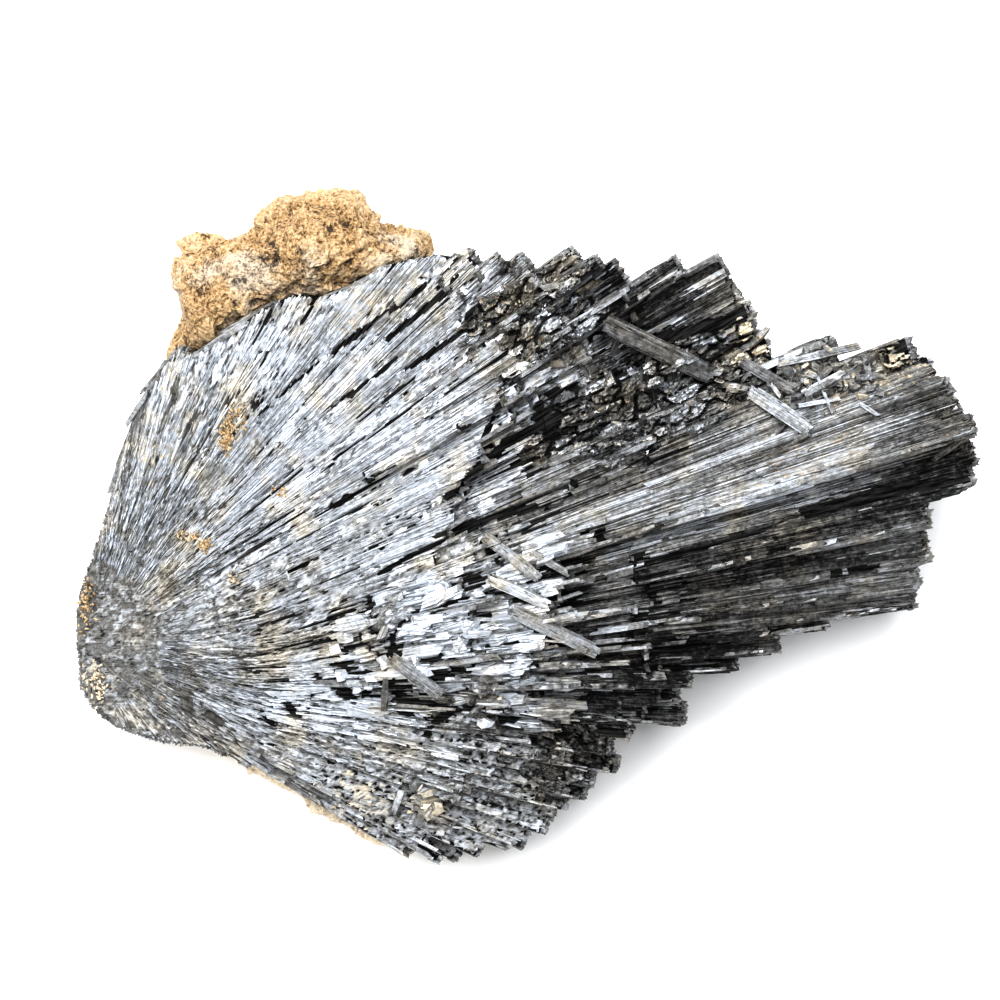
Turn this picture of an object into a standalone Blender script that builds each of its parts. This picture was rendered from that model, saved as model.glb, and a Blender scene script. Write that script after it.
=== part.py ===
"""Stibnite crystal spray: a fan of fused metallic laths on the ochre rock that it grew on.

Metres, +Z up. The specimen lies on the flat cut under its rock, and the origin is the
middle of its bounding box's bottom. The laths leave a root near the left end, the
longest of them along +X. Lengths below are in millimetres until a mesh is written.
"""

import math

import bpy
import numpy as np
from mathutils import Vector, noise
from mathutils.bvhtree import BVHTree

MM = 0.001
SEED = 7
GAP = 0.3  # left between pieces that rest on each other

# Root of the fan in plan, and how far it slides along Y for laths of each direction.
ROOT = (-59.8, -17.0)
ROOT_SLIDE = ((-40, 0.0), (-20, -2.5), (-5, -4.0), (5, -6.0), (20, -6.0), (30, 1.0), (60, 1.5), (90, 0.0))
ROOT_SLIDE_REACH = 27.0  # radius at which the slide is complete

# Plan outline of the spray, clockwise from the nose, in named stretches.
LEFT_EDGE = ((-60.4, -8.5), (-58.0, -3.0), (-54.6, 9.5), (-52.6, 16.5), (-50.0, 20.5), (-47.4, 24.0))
ROCK_SEAM = ((-44.5, 23.4), (-32.5, 31.4), (-26.0, 31.0), (-19.5, 35.0))
TOP_ENDS = (
    (-12.0, 36.8), (-7.0, 36.0), (-0.5, 36.0), (0.5, 34.6), (3.5, 35.0), (6.0, 36.6),
    (8.5, 36.2), (10.5, 35.2), (13.5, 33.6),
)
UPPER_BUNDLES = (
    (17.0, 34.2), (22.0, 35.2), (27.8, 35.2), (28.5, 33.2), (28.0, 31.0), (28.5, 28.8),
    (30.0, 28.0), (31.5, 25.5),
)
LONG_BUNDLE = (
    (34.0, 23.5), (41.0, 23.5), (46.0, 24.5), (53.5, 23.5), (55.0, 21.0), (58.0, 16.5),
    (59.5, 13.5), (60.0, 7.0), (57.5, 4.5), (54.0, 2.5), (53.5, -1.0), (54.0, -3.5),
    (52.5, -7.0), (52.0, -10.5),
)
DARK_FOOT = (
    (47.5, -11.0), (43.5, -12.0), (37.0, -14.5), (32.0, -16.5), (28.0, -18.5),
    (22.0, -20.5), (20.0, -22.5),
)
TERRACES = (
    (21.5, -25.5), (21.0, -27.0), (11.0, -27.5), (10.5, -29.0), (12.0, -32.5),
    (9.0, -33.5), (7.0, -37.0), (5.0, -37.5), (0.0, -42.5),
)
APRON = (
    (-6.0, -43.8), (-12.5, -45.0), (-18.0, -43.4), (-24.5, -40.5), (-28.5, -37.0),
    (-38.0, -32.0), (-43.5, -29.8), (-50.5, -29.2), (-55.0, -27.6), (-58.2, -25.4),
    (-60.2, -22.5), (-61.0, -17.0), (-61.0, -12.0),
)
OUTLINE = LEFT_EDGE + ROCK_SEAM + TOP_ENDS + UPPER_BUNDLES + LONG_BUNDLE + DARK_FOOT + TERRACES + APRON

# Ribs: the height of the spray's upper side along one direction, at each of RIB_RADII.
RIB_RADII = (0, 20, 40, 60, 80, 100, 122)
TOP_RIBS = (
    (-60, (17, 15, 13, 12, 12, 12, 12)),  # round the foot of the nose
    (-36, (17, 17, 15, 14, 13, 12, 12)),  # rim of the apron
    (-27, (17, 20, 20, 18, 16, 14, 12)),
    (-18, (17, 23, 25, 24, 20, 16, 14)),
    (-9, (17, 25, 30, 31, 26, 20, 16)),
    (-2, (17, 26, 34, 36, 30, 19, 16)),
    (4, (17, 27, 36, 41, 34, 22, 18)),  # foot of the dark face
    (10, (17, 27, 37, 43, 40, 33, 28)),
    (17, (17, 27, 38, 44, 44, 42, 39)),  # ridge of the long bundle
    (20, (17, 27, 37, 41, 38, 35, 33)),
    (25, (17, 27, 36, 39, 35, 30, 28)),  # upper edge of the long bundle
    (33, (17, 26, 34, 38, 36, 30, 28)),
    (42, (17, 25, 32, 35, 32, 28, 26)),
    (52, (17, 23, 29, 31, 29, 26, 24)),
    (63, (17, 21, 26, 27, 25, 24, 22)),
    (72, (17, 20, 23, 24, 23, 23, 23)),
    (77, (17, 19, 20, 20, 20, 20, 20)),  # left edge
    (100, (17, 16, 16, 16, 16, 16, 16)),
)

# The underside sits on the rock along one sloping plane, and climbs above it further out.
SEAT_HEIGHT = 9.0  # over the middle of the outline
SEAT_SLOPE = (-0.07, 0.06)  # rise per millimetre along X and Y
FREE_REACH = 88.0  # radius beyond which the underside hangs clear of the rock
THINNEST = 2.2  # least thickness of a strip
UNDER_RADII = (0, 62, 87, 104, 122)
UNDER_RIBS = (
    (-36, (0, 0, 0, 0, 0)),
    (-8, (0, 0, 0, 0, 1)),
    (2, (0, 0, 0, 0, 2)),
    (10, (0, 0, 0, 3, 7)),
    (17, (0, 0, 1, 8, 12)),
    (24, (0, 0, 3, 11, 14)),
    (33, (0, 0, 5, 12, 14)),
    (48, (0, 0, 6, 10, 12)),
    (60, (0, 0, 0, 0, 0)),
)

# Breaks: (first angle, last angle, radius at each, step down, raggedness). Laths end there.
BREAKS = (
    (25, 31, 57, 68, 5.0, 2.0),  # the upper fan ends over the debris hollow
    (31, 37, 68, 86, 6.0, 2.0),
    (25, 34, 84, 88, -3.0, 1.5),  # far side of the hollow: the upper bundles stand up again
    (29.0, 30.6, 84, 86, 4.0, 0.5),  # grooves between the three upper bundles
    (26.2, 27.4, 84, 86, 4.0, 0.5),
    (37, 46, 66, 70, 2.5, 2.5),  # ragged top ends
    (20, 27, 51, 58, 2.5, 1.5),  # dark slot between the fan and the long bundle
    (13, 20, 50, 54, 1.6, 2.5),
    (2, 16, 60, 66, 4.5, 2.0),  # end of the centre stack
    (2, 16, 74, 78, -2.5, 2.5),  # the long bundle's root comes up out of the valley
    (-2, 13, 46, 55, 1.8, 3.0),  # plates of the centre stack
    (0, 15, 37, 41, -1.4, 3.0),
    (-16, 0, 66, 70, 3.5, 3.0),  # terraces
    (-20, 0, 54, 58, 2.2, 3.0),
    (-7, 4, 76, 78, 2.5, 2.0),
    (-34, -16, 51, 54, 2.2, 1.5),  # crack across the apron
    (-34, -20, 60, 62, 2.0, 1.0),
)

# Strips: each is a bundle of laths grown side by side.
STRIP_ZONES = (  # (first angle, last angle, strip width in degrees)
    (-36, 2, 2.0),
    (2, 26, 1.45),
    (26, 80, 1.9),
    (80, 100, 6.0),
    (100, 260, 32.0),
    (260, 324, 8.0),
)
STRIP_NOTCH = 0.14  # degrees between one strip's side and the next one's
STRIP_LIFT = 0.55  # how far a strip's top stands above or below its neighbours
STRIP_ROLL = 0.45  # rise of a strip's top face from one side to the other
START_RADIUS = 6.0  # a strip's first station, or START_SHARE of its length if that is less
START_SHARE = 0.55
STEP_FADE = 14.0  # run from the first station over which lifts, rolls and steps grow to full
END_RAGGEDNESS = 0.7
ROCK_SIDE = 46  # strips beyond this direction end against the rock
ROCK_SIDE_RAGGEDNESS = 0.3  # share of END_RAGGEDNESS
SIDE_CLEARANCE = 0.25  # how far within the outline the smooth sides end
BREAK_RUN = 0.16  # length along which a break drops
BREAK_SPACE = 1.2  # least distance between two breaks of one strip
FIRST_BREAK = 14.0  # least distance of a break from the root
LAST_BREAK = 2.5  # least distance of a break from the tip
DROP_SHARES = (0.75, 1.25)  # a strip's own share of a break's step
SMALL_BREAK_SHARES = (0.3, 0.95)  # shares of the length between which the extra breaks lie
TOP_STATIONS = 17
UNDER_STATIONS = (0.96, 0.86, 0.7, 0.4)  # shares of a strip's length
SMALL_BREAKS = 2  # extra breaks in each strip
RUBBLE = (21, 37, 62, 88)  # first and last angle and radius of the debris hollow
RUBBLE_LIFT = 1.3
WALL_TIERS = (0.34, 0.68)  # shares of a tip's height at which the laths below stop short or stand out
TIER_OFFSET = (-2.6, 0.6)
LEDGE_DROP = 0.15  # fall of a tier's ledge
UNDER_LIFT = 0.5  # how far a free strip's underside stands above or below its neighbours
WIDEST_FAN = (-37, 80)  # outside these angles the strips are short stubs round the nose

# Rock: a slab under the spray and lumps that rise at the upper left.
ROCK_OUTLINE = (
    (-46.5, 36.0), (-38.0, 36.5), (-28.0, 41.0), (-14.0, 35.0), (-2.0, 28.0), (14.0, 26.0),
    (21.0, 12.0), (20.0, -6.0), (12.0, -18.0), (4.0, -29.0), (-3.0, -40.0), (-17.0, -44.6),
    (-23.0, -42.0), (-29.0, -38.8), (-37.5, -32.4), (-45.3, -28.8), (-53.0, -22.0), (-56.0, -10.0),
    (-52.5, 4.0), (-49.0, 18.0), (-47.5, 27.0),
)
ROCK_CENTRE = (-22.0, 0.0)
ROCK_PROFILE = (  # share of the outline's reach, and height, over the rim and under it
    (0.5, 17.0), (0.93, 17.0), (0.985, 13.5), (1.0, 10.0),
    (0.99, 6.0), (0.975, 2.0), (0.95, -2.0), (0.5, -2.0),
)
CRAGGY_SHARE = 0.9  # the profile's points beyond this share are craggy
ROCK_COLUMNS = 84  # points round the slab
ROCK_LUMPS = (  # centre and half sizes
    ((-40.6, 32.3, 10.5), (7.4, 7.0, 13.5)),
    ((-35.2, 34.0, 11.0), (7.0, 6.4, 14.0)),
    ((-28.4, 38.2, 12.5), (7.5, 6.8, 16.0)),
    ((-23.0, 37.4, 12.0), (6.5, 5.0, 15.0)),
    ((-19.5, 36.0, 11.5), (7.3, 4.5, 14.0)),
    ((-42.0, 27.0, 9.0), (5.0, 6.5, 12.0)),
)
LUMP_SQUARENESS = 3  # power of the rounded box that each lump is
ROCK_ROUGHNESS = 1.5
LUMP_ROUGHNESS = 2.1
SWAY = ((0.13, 1.0), (0.4, 0.5))  # times per millimetre, and strength, of the rock's smooth noise
SWAY_OFFSETS = ((0.0, 0.0, 0.0), (17.3, 5.1, 9.7), (4.9, 23.6, 31.2))  # where X, Y and Z take it from
CREASE_CELLS = 0.2  # cells per millimetre
CREASE_WIDTH = 0.35
CREASE_DEPTH = 0.7
SEAM_OFFSET = -0.15  # along X, from the spray's edge to the rock's cut
SEAT_SPLAY = 7.0  # how far the seat's last side leans out from the end of the seam
BEYOND = 90.0  # plan distance past every side of the specimen
ABOVE = 70.0  # height over the whole specimen
BELOW = -40.0

# Loose laths: plan of both ends, width and thickness.
LOOSE_LATHS = (
    ((-5.2, -1.2), (1.5, -6.4), 1.5, 0.9),
    ((-4.8, -6.8), (2.4, -10.0), 1.5, 0.9),
    ((-1.8, -10.8), (9.2, -16.3), 1.8, 1.1),
    ((-17.8, -17.2), (-11.8, -21.8), 1.6, 0.9),
    ((11.2, 27.4), (24.6, 21.0), 2.6, 1.0),
    ((29.1, 22.3), (35.7, 18.4), 1.3, 0.9),
    ((30.4, 18.4), (37.8, 13.4), 1.9, 0.9),
    ((37.0, 18.0), (42.2, 20.7), 1.0, 0.7),
)
LATH_SECTION = ((-0.5, 0.0), (-0.3, 0.5), (0.3, 0.5), (0.5, 0.0), (0.3, -0.5), (-0.3, -0.5))
LATH_STATIONS = ((0.0, 0.5), (0.5, 0.0), (1.0, -0.7))  # share of the length, and slant across
LATH_CLEARANCE = GAP + 0.15
REST_STATIONS = 13  # places along a lath, and across it, where the spray's height is taken
REST_SIDES = (-0.6, -0.3, 0.0, 0.3, 0.6)  # shares of the width
STEEPEST_LATH = 0.7
SLOPES_TRIED = 57


def interpolate_ribs(ribs, radii, angle, radius):
    """Height at one angle and an array of radii, straight between ribs and along them."""
    angles = [rib[0] for rib in ribs]
    heights = np.array([rib[1] for rib in ribs], float)
    across = np.array([np.interp(angle, angles, column) for column in heights.T])
    return np.interp(radius, radii, across)


def signed_angle(angle):
    """The same direction as angle, between -180 and 180 degrees."""
    return (angle + 180.0) % 360.0 - 180.0


def top_height(angle, radius):
    return interpolate_ribs(TOP_RIBS, RIB_RADII, signed_angle(angle), radius)


def seat_height(x, y):
    """Height of the plane that the spray sits on."""
    return SEAT_HEIGHT + SEAT_SLOPE[0] * x + SEAT_SLOPE[1] * y


def under_height(angle, radius):
    """The seat's plane under the strip, and what the strip's underside climbs above it."""
    place = plan_points(angle, radius)
    climb = interpolate_ribs(UNDER_RIBS, UNDER_RADII, signed_angle(angle), radius)
    return seat_height(place[..., 0], place[..., 1]) + climb


def plan_points(angle, radius):
    """Plan places along one lath direction, whose root slides along Y as the radius grows."""
    slides = [stop[1] for stop in ROOT_SLIDE]
    slide = np.interp(signed_angle(angle), [stop[0] for stop in ROOT_SLIDE], slides)
    share = np.clip(np.asarray(radius, float) / ROOT_SLIDE_REACH, 0.0, 1.0)
    share = share * share * (3.0 - 2.0 * share)
    turn = math.radians(angle)
    return np.stack([
        ROOT[0] + radius * math.cos(turn),
        ROOT[1] + slide * share + radius * math.sin(turn),
    ], axis=-1)


def inside(outline, points):
    """Which plan points lie inside the outline, by counting the edges to their right."""
    start = np.array(outline, float)
    end = np.roll(start, -1, axis=0)
    x, y = points[:, 0, None], points[:, 1, None]
    spans = (start[:, 1] > y) != (end[:, 1] > y)
    rise = np.where(end[:, 1] == start[:, 1], 1.0, end[:, 1] - start[:, 1])
    cross = start[:, 0] + (y - start[:, 1]) * (end[:, 0] - start[:, 0]) / rise
    return (spans & (x < cross)).sum(axis=1) % 2 == 1


def reach(angle):
    """Radius at which a lath of this direction meets the outline."""
    radius = np.arange(1.0, 130.0, 0.2)
    within = inside(OUTLINE, plan_points(angle, radius))
    return float(radius[within].max()) if within.any() else 2.0


def strip_edges(rng):
    """Angles of each strip's two sides, all the way round the root."""
    sides = []
    for first, last, width in STRIP_ZONES:
        count = max(1, round((last - first) / width))
        cuts = np.linspace(first, last, count + 1)
        cuts[1:-1] += rng.uniform(-0.25, 0.25, count - 1) * width
        sides += list(zip(cuts[:-1], cuts[1:]))
    return sides


def spread_stations(fixed, count):
    """Sorted radii with the fixed ones among them, the widest spaces split until count are reached."""
    stations = sorted(fixed)
    while len(stations) < count:
        spaces = np.diff(stations)
        widest = int(np.argmax(spaces))
        stations.insert(widest + 1, 0.5 * (stations[widest] + stations[widest + 1]))
    return np.array(stations)


def strip_breaks(rng, angle, length):
    """(radius, step down) of every break that this strip has, main ones and small ones."""
    found = []
    for first, last, start, end, drop, ragged in BREAKS:
        if first <= angle < last:
            radius = np.interp(angle, (first, last), (start, end)) + rng.uniform(-ragged, ragged)
            found.append((radius, drop * rng.uniform(*DROP_SHARES)))
    small = list(rng.uniform(*SMALL_BREAK_SHARES, SMALL_BREAKS) * length)
    if RUBBLE[0] <= angle < RUBBLE[1]:
        small += list(rng.uniform(RUBBLE[2], RUBBLE[3], SMALL_BREAKS))
    found += [(radius, 0.0) for radius in small]
    kept = []
    for radius, drop in sorted(found):
        clear = not kept or radius - kept[-1][0] > BREAK_SPACE
        if clear and FIRST_BREAK < radius < length - LAST_BREAK:
            kept.append((radius, drop))
    return kept


def end_wall(rng, length, top, under, ragged):
    """Radii and heights down a strip's broken end, in tiers that stop short or stand out."""
    radii = []
    heights = []
    reach_here = length
    for share in WALL_TIERS:
        ledge = top + share * (under - top)
        reach_next = length + ragged * rng.uniform(*TIER_OFFSET)
        radii += [reach_here, reach_next]
        heights += [ledge, ledge - LEDGE_DROP]
        reach_here = reach_next
    return np.array(radii + [reach_here]), np.array(heights + [under])


def strip_columns(rng, left, right):
    """Points of a strip's two sides, from over the root, out to the tip and back under."""
    middle = 0.5 * (left + right)
    facing = signed_angle(middle)
    stub = not WIDEST_FAN[0] < facing < WIDEST_FAN[1]
    by_rock = ROCK_SIDE < facing < WIDEST_FAN[1]
    smooth = stub or by_rock  # each side follows the outline, without steps
    length = reach(middle)
    if not stub:
        length -= rng.uniform(0.0, END_RAGGEDNESS) * (ROCK_SIDE_RAGGEDNESS if by_rock else 1.0)
    breaks = strip_breaks(rng, facing, length)
    start = min(START_RADIUS, START_SHARE * length)
    fixed = [start, length]
    for radius, _ in breaks:
        fixed += [radius - 0.5 * BREAK_RUN, radius + 0.5 * BREAK_RUN]
    radii = spread_stations(fixed, TOP_STATIONS)
    segment = np.searchsorted([radius for radius, _ in breaks], radii)
    lift = rng.uniform(-STRIP_LIFT, STRIP_LIFT, len(breaks) + 1)
    if RUBBLE[0] <= facing < RUBBLE[1]:
        ends = np.array([radius for radius, _ in breaks] + [length])
        lift = np.where(ends > RUBBLE[2], lift * RUBBLE_LIFT / STRIP_LIFT, lift)
    roll = rng.uniform(-STRIP_ROLL, STRIP_ROLL, len(breaks) + 1)
    dropped = np.concatenate([[0.0], np.cumsum([drop for _, drop in breaks])])
    fade = np.clip((radii - start) / STEP_FADE, 0.0, 1.0) * (0.0 if stub else 1.0)
    top = top_height(middle, radii) + (lift - dropped)[segment] * fade
    top = np.maximum(top, under_height(middle, radii) + THINNEST)
    under_radii = length * np.array(UNDER_STATIONS)
    under_lift = np.where(under_radii > FREE_REACH, rng.uniform(-UNDER_LIFT, UNDER_LIFT), 0.0)
    ragged = 0.0 if stub or by_rock else 1.0
    tip_under = float(under_height(middle, length))
    wall_radii, wall = end_wall(rng, length, top[-1], tip_under, ragged)
    columns = []
    for side, angle in ((-0.5, left + 0.5 * STRIP_NOTCH), (0.5, right - 0.5 * STRIP_NOTCH)):
        stretch = (reach(angle) - SIDE_CLEARANCE) / length if smooth else 1.0
        along = stretch * np.concatenate([radii, wall_radii, under_radii])
        wall[-1] = under_height(angle, stretch * wall_radii[-1])
        under = under_height(angle, stretch * under_radii) + under_lift
        heights = np.concatenate([top + side * roll[segment] * fade, wall, under])
        columns.append(np.c_[plan_points(angle, along), heights])
    return columns


def closed_mesh(name, columns, top_pole, under_pole):
    """A body from columns of points that run from one pole to the other, side by side."""
    grid = np.array(columns)
    around, along = grid.shape[:2]
    points = [top_pole, *grid.reshape(-1, 3), under_pole]
    last = len(points) - 1
    faces = []
    for column in range(around):
        here = 1 + column * along
        there = 1 + (column + 1) % around * along
        faces.append((0, here, there))
        for row in range(along - 1):
            faces.append((here + row, here + row + 1, there + row + 1, there + row))
        faces.append((here + along - 1, last, there + along - 1))
    mesh = bpy.data.meshes.new(name)
    mesh.from_pydata([tuple(point * MM) for point in np.asarray(points, float)], [], faces)
    mesh.validate()
    body = bpy.data.objects.new(name, mesh)
    bpy.context.collection.objects.link(body)
    return body


def crystal_spray():
    """The whole fan in one body: strips side by side round the root."""
    rng = np.random.default_rng(SEED)
    columns = []
    for left, right in strip_edges(rng):
        columns += strip_columns(rng, left, right)
    top_pole = (*ROOT, float(top_height(0.0, 0.0)))
    under_pole = (*ROOT, seat_height(*ROOT))
    return closed_mesh("crystal_spray", columns, top_pole, under_pole)


def craggy(point, strength):
    """A rock point moved by smooth noise and pushed in along the creases between cells."""
    place = Vector(point)
    sway = Vector((0.0, 0.0, 0.0))
    for times, share in SWAY:
        for axis, offset in enumerate(SWAY_OFFSETS):
            sway[axis] += share * noise.noise(place * times + Vector(offset))
    near, next_near = noise.voronoi(place * CREASE_CELLS)[0][:2]
    crease = max(0.0, CREASE_WIDTH - (next_near - near)) / CREASE_WIDTH
    inward = (Vector((*ROCK_CENTRE, point[2])) - place).normalized()
    return np.array(place + strength * (sway + CREASE_DEPTH * crease * inward))


def rock_slab():
    """A craggy slab with the rock's plan outline, flat above and below."""
    outline = np.array(ROCK_OUTLINE, float) - ROCK_CENTRE
    turns = np.arctan2(outline[:, 1], outline[:, 0])
    order = np.argsort(turns)
    around = np.linspace(-math.pi, math.pi, ROCK_COLUMNS, endpoint=False)
    spans = np.interp(around, turns[order], np.hypot(*outline.T)[order], period=2 * math.pi)
    columns = []
    for turn, span in zip(around, spans):
        column = []
        for share, height in ROCK_PROFILE:
            x = ROCK_CENTRE[0] + share * span * math.cos(turn)
            y = ROCK_CENTRE[1] + share * span * math.sin(turn)
            place = (x, y, height)
            column.append(craggy(place, ROCK_ROUGHNESS) if share > CRAGGY_SHARE else place)
        columns.append(np.array(column))
    peak, floor = ROCK_PROFILE[0][1], ROCK_PROFILE[-1][1]
    return closed_mesh("matrix_rock", columns, (*ROCK_CENTRE, peak), (*ROCK_CENTRE, floor))


def rock_lump(centre, sizes):
    """A craggy ellipsoid, squared a little so that it has faces and shoulders."""
    bpy.ops.mesh.primitive_ico_sphere_add(subdivisions=3, radius=1.0)
    lump = bpy.context.active_object
    for vertex in lump.data.vertices:
        unit = np.array(vertex.co)
        squared = unit / (np.abs(unit) ** LUMP_SQUARENESS).sum() ** (1 / LUMP_SQUARENESS)
        point = np.array(centre) + squared * sizes
        vertex.co = craggy(point, LUMP_ROUGHNESS) * MM
    return lump


def prism(outline, bottom, top):
    """A straight prism over a clockwise plan outline. bottom and top are heights at a place."""
    count = len(outline)
    points = [(x * MM, y * MM, height(x, y) * MM) for height in (bottom, top) for x, y in outline]
    faces = [tuple(range(count)), tuple(reversed(range(count, 2 * count)))]
    for corner in range(count):
        after = (corner + 1) % count
        faces.append((corner, corner + count, after + count, after))
    mesh = bpy.data.meshes.new("prism")
    mesh.from_pydata(points, [], faces)
    body = bpy.data.objects.new("prism", mesh)
    bpy.context.collection.objects.link(body)
    return body


def combine(body, tool, operation):
    """Adds or cuts with an exact Boolean, and leaves the tool out of the part."""
    change = body.modifiers.new(tool.name, "BOOLEAN")
    change.operation = operation
    change.solver = "EXACT"
    change.object = tool
    tool.hide_render = True
    tool.display_type = "WIRE"


def matrix_rock():
    """The rock: slab and lumps joined, the spray's seat cut out, and cut flat below."""
    rock = rock_slab()
    for centre, sizes in ROCK_LUMPS:
        combine(rock, rock_lump(centre, sizes), "UNION")
    seam = [(x + SEAM_OFFSET, y + GAP) for x, y in (LEFT_EDGE[-1],) + ROCK_SEAM + TOP_ENDS[:1]]
    last_x, first_y = seam[-1][0] + SEAT_SPLAY, seam[0][1]
    far = [(last_x, BEYOND), (BEYOND, BEYOND), (BEYOND, -BEYOND), (-BEYOND, -BEYOND), (-BEYOND, first_y)]
    seat = prism(seam + far, lambda x, y: seat_height(x, y) - 1.1 * GAP, lambda x, y: ABOVE)
    combine(rock, seat, "DIFFERENCE")
    corners = [(-BEYOND, BEYOND), (BEYOND, BEYOND), (BEYOND, -BEYOND), (-BEYOND, -BEYOND)]
    ground = prism(corners, lambda x, y: BELOW, lambda x, y: 0.0)
    combine(rock, ground, "DIFFERENCE")
    return rock


def lath(name, start, end, width, thickness, tree):
    """A flat six-sided bar with broken ends, resting on the spray along its length."""
    start, end = np.array(start), np.array(end)
    length = float(np.hypot(*(end - start)))
    along = (end - start) / length
    across = np.array((-along[1], along[0]))
    shares = np.linspace(0.0, 1.0, REST_STATIONS)
    sides = np.array(REST_SIDES) * width
    heights = np.array([
        max(surface_height(tree, start + share * length * along + side * across) for side in sides)
        for share in shares
    ])
    slopes = np.linspace(-STEEPEST_LATH, STEEPEST_LATH, SLOPES_TRIED)
    rests = [(float((heights - slope * (shares - 0.5) * length).max()), slope) for slope in slopes]
    lift, slope = min(rests)
    points = []
    for share, slant in LATH_STATIONS:
        for side, up in LATH_SECTION:
            run = share * length + slant * side * width
            place = start + run * along + side * width * across
            height = lift + slope * (run - 0.5 * length) + (up + 0.5) * thickness + LATH_CLEARANCE
            points.append((place[0] * MM, place[1] * MM, height * MM))
    ring = len(LATH_SECTION)
    faces = [tuple(range(ring)), tuple(reversed(range(len(points) - ring, len(points))))]
    for row in range(0, len(points) - ring, ring):
        for corner in range(ring):
            after = (corner + 1) % ring
            faces.append((row + corner, row + ring + corner, row + ring + after, row + after))
    mesh = bpy.data.meshes.new(name)
    mesh.from_pydata(points, [], faces)
    body = bpy.data.objects.new(name, mesh)
    bpy.context.collection.objects.link(body)
    return body


def surface_height(tree, place):
    """Height of the highest surface over a plan place, in millimetres."""
    above = Vector((place[0] * MM, place[1] * MM, ABOVE * MM))
    hit = tree.ray_cast(above, Vector((0.0, 0.0, -1.0)))
    return hit[0].z / MM if hit[0] else 0.0


def centre_on_origin(bodies):
    """Slides every body so that the bounding box's middle is over the origin."""
    bpy.context.view_layer.update()
    graph = bpy.context.evaluated_depsgraph_get()
    corners = []
    for body in bodies:
        mesh = body.evaluated_get(graph).to_mesh()
        corners += [vertex.co.copy() for vertex in mesh.vertices]
    points = np.array(corners)
    middle = 0.5 * (points.min(axis=0) + points.max(axis=0))
    for item in bpy.data.objects:
        item.location = (-middle[0], -middle[1], 0.0)


def finish(body, color, metallic, roughness):
    """Gives a body its own Principled material."""
    material = bpy.data.materials.new(body.name)
    material.use_nodes = True
    shader = material.node_tree.nodes["Principled BSDF"]
    shader.inputs["Base Color"].default_value = (*color, 1.0)
    shader.inputs["Metallic"].default_value = metallic
    shader.inputs["Roughness"].default_value = roughness
    body.data.materials.append(material)


def main():
    for item in list(bpy.data.objects):
        bpy.data.objects.remove(item)
    spray = crystal_spray()
    finish(spray, (0.30, 0.33, 0.38), 0.9, 0.38)
    rock = matrix_rock()
    finish(rock, (0.70, 0.44, 0.18), 0.0, 0.95)
    bpy.context.view_layer.update()
    tree = BVHTree.FromObject(spray, bpy.context.evaluated_depsgraph_get())
    laths = []
    for number, (start, end, width, thickness) in enumerate(LOOSE_LATHS, 1):
        piece = lath(f"loose_lath_{number}", start, end, width, thickness, tree)
        finish(piece, (0.42, 0.46, 0.52), 0.9, 0.32)
        laths.append(piece)
    centre_on_origin([spray, rock, *laths])


main()
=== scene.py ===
"""Looks of the stibnite crystal spray: fine laths over its solid core, and grainy ochre rock.

Every lath is a short profile carried along its own path. The paths leave the root of the
fan, follow the core's upper side and break off where the core steps, so the fine laths
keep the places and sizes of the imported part. Lengths in the tables are in millimetres,
angles in degrees, and places are plan X and Y in the frame's own axes. The last number of
a noise, cell or lattice call is its seed.
"""

import math

import bpy
import numpy as np
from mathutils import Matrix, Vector
from mathutils.bvhtree import BVHTree


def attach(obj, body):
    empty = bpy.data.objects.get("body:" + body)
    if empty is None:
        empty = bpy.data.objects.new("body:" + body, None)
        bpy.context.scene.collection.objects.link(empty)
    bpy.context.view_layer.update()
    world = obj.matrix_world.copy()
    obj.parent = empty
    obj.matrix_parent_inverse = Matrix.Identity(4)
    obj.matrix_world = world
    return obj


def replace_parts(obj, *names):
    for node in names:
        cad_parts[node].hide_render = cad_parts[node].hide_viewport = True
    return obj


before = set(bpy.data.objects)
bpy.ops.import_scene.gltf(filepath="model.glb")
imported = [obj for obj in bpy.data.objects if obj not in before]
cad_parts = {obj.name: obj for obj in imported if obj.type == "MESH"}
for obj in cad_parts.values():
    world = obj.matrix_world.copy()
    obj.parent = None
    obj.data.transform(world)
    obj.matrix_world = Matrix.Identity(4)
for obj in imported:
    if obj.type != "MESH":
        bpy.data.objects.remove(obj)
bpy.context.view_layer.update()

MM = 0.001
SEED = 11

# Root of the fan in plan, and how far it slides along Y for laths of each direction.
ROOT = np.array((-59.3, -17.4))
SLIDE_ANGLES = (-40, -20, -5, 5, 20, 30, 60, 90)
SLIDES = (0.0, -2.5, -4.0, -6.0, -6.0, 1.0, 1.5, 0.0)
SLIDE_REACH = 27.0
ROOT_DEPTH = 12.0

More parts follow.
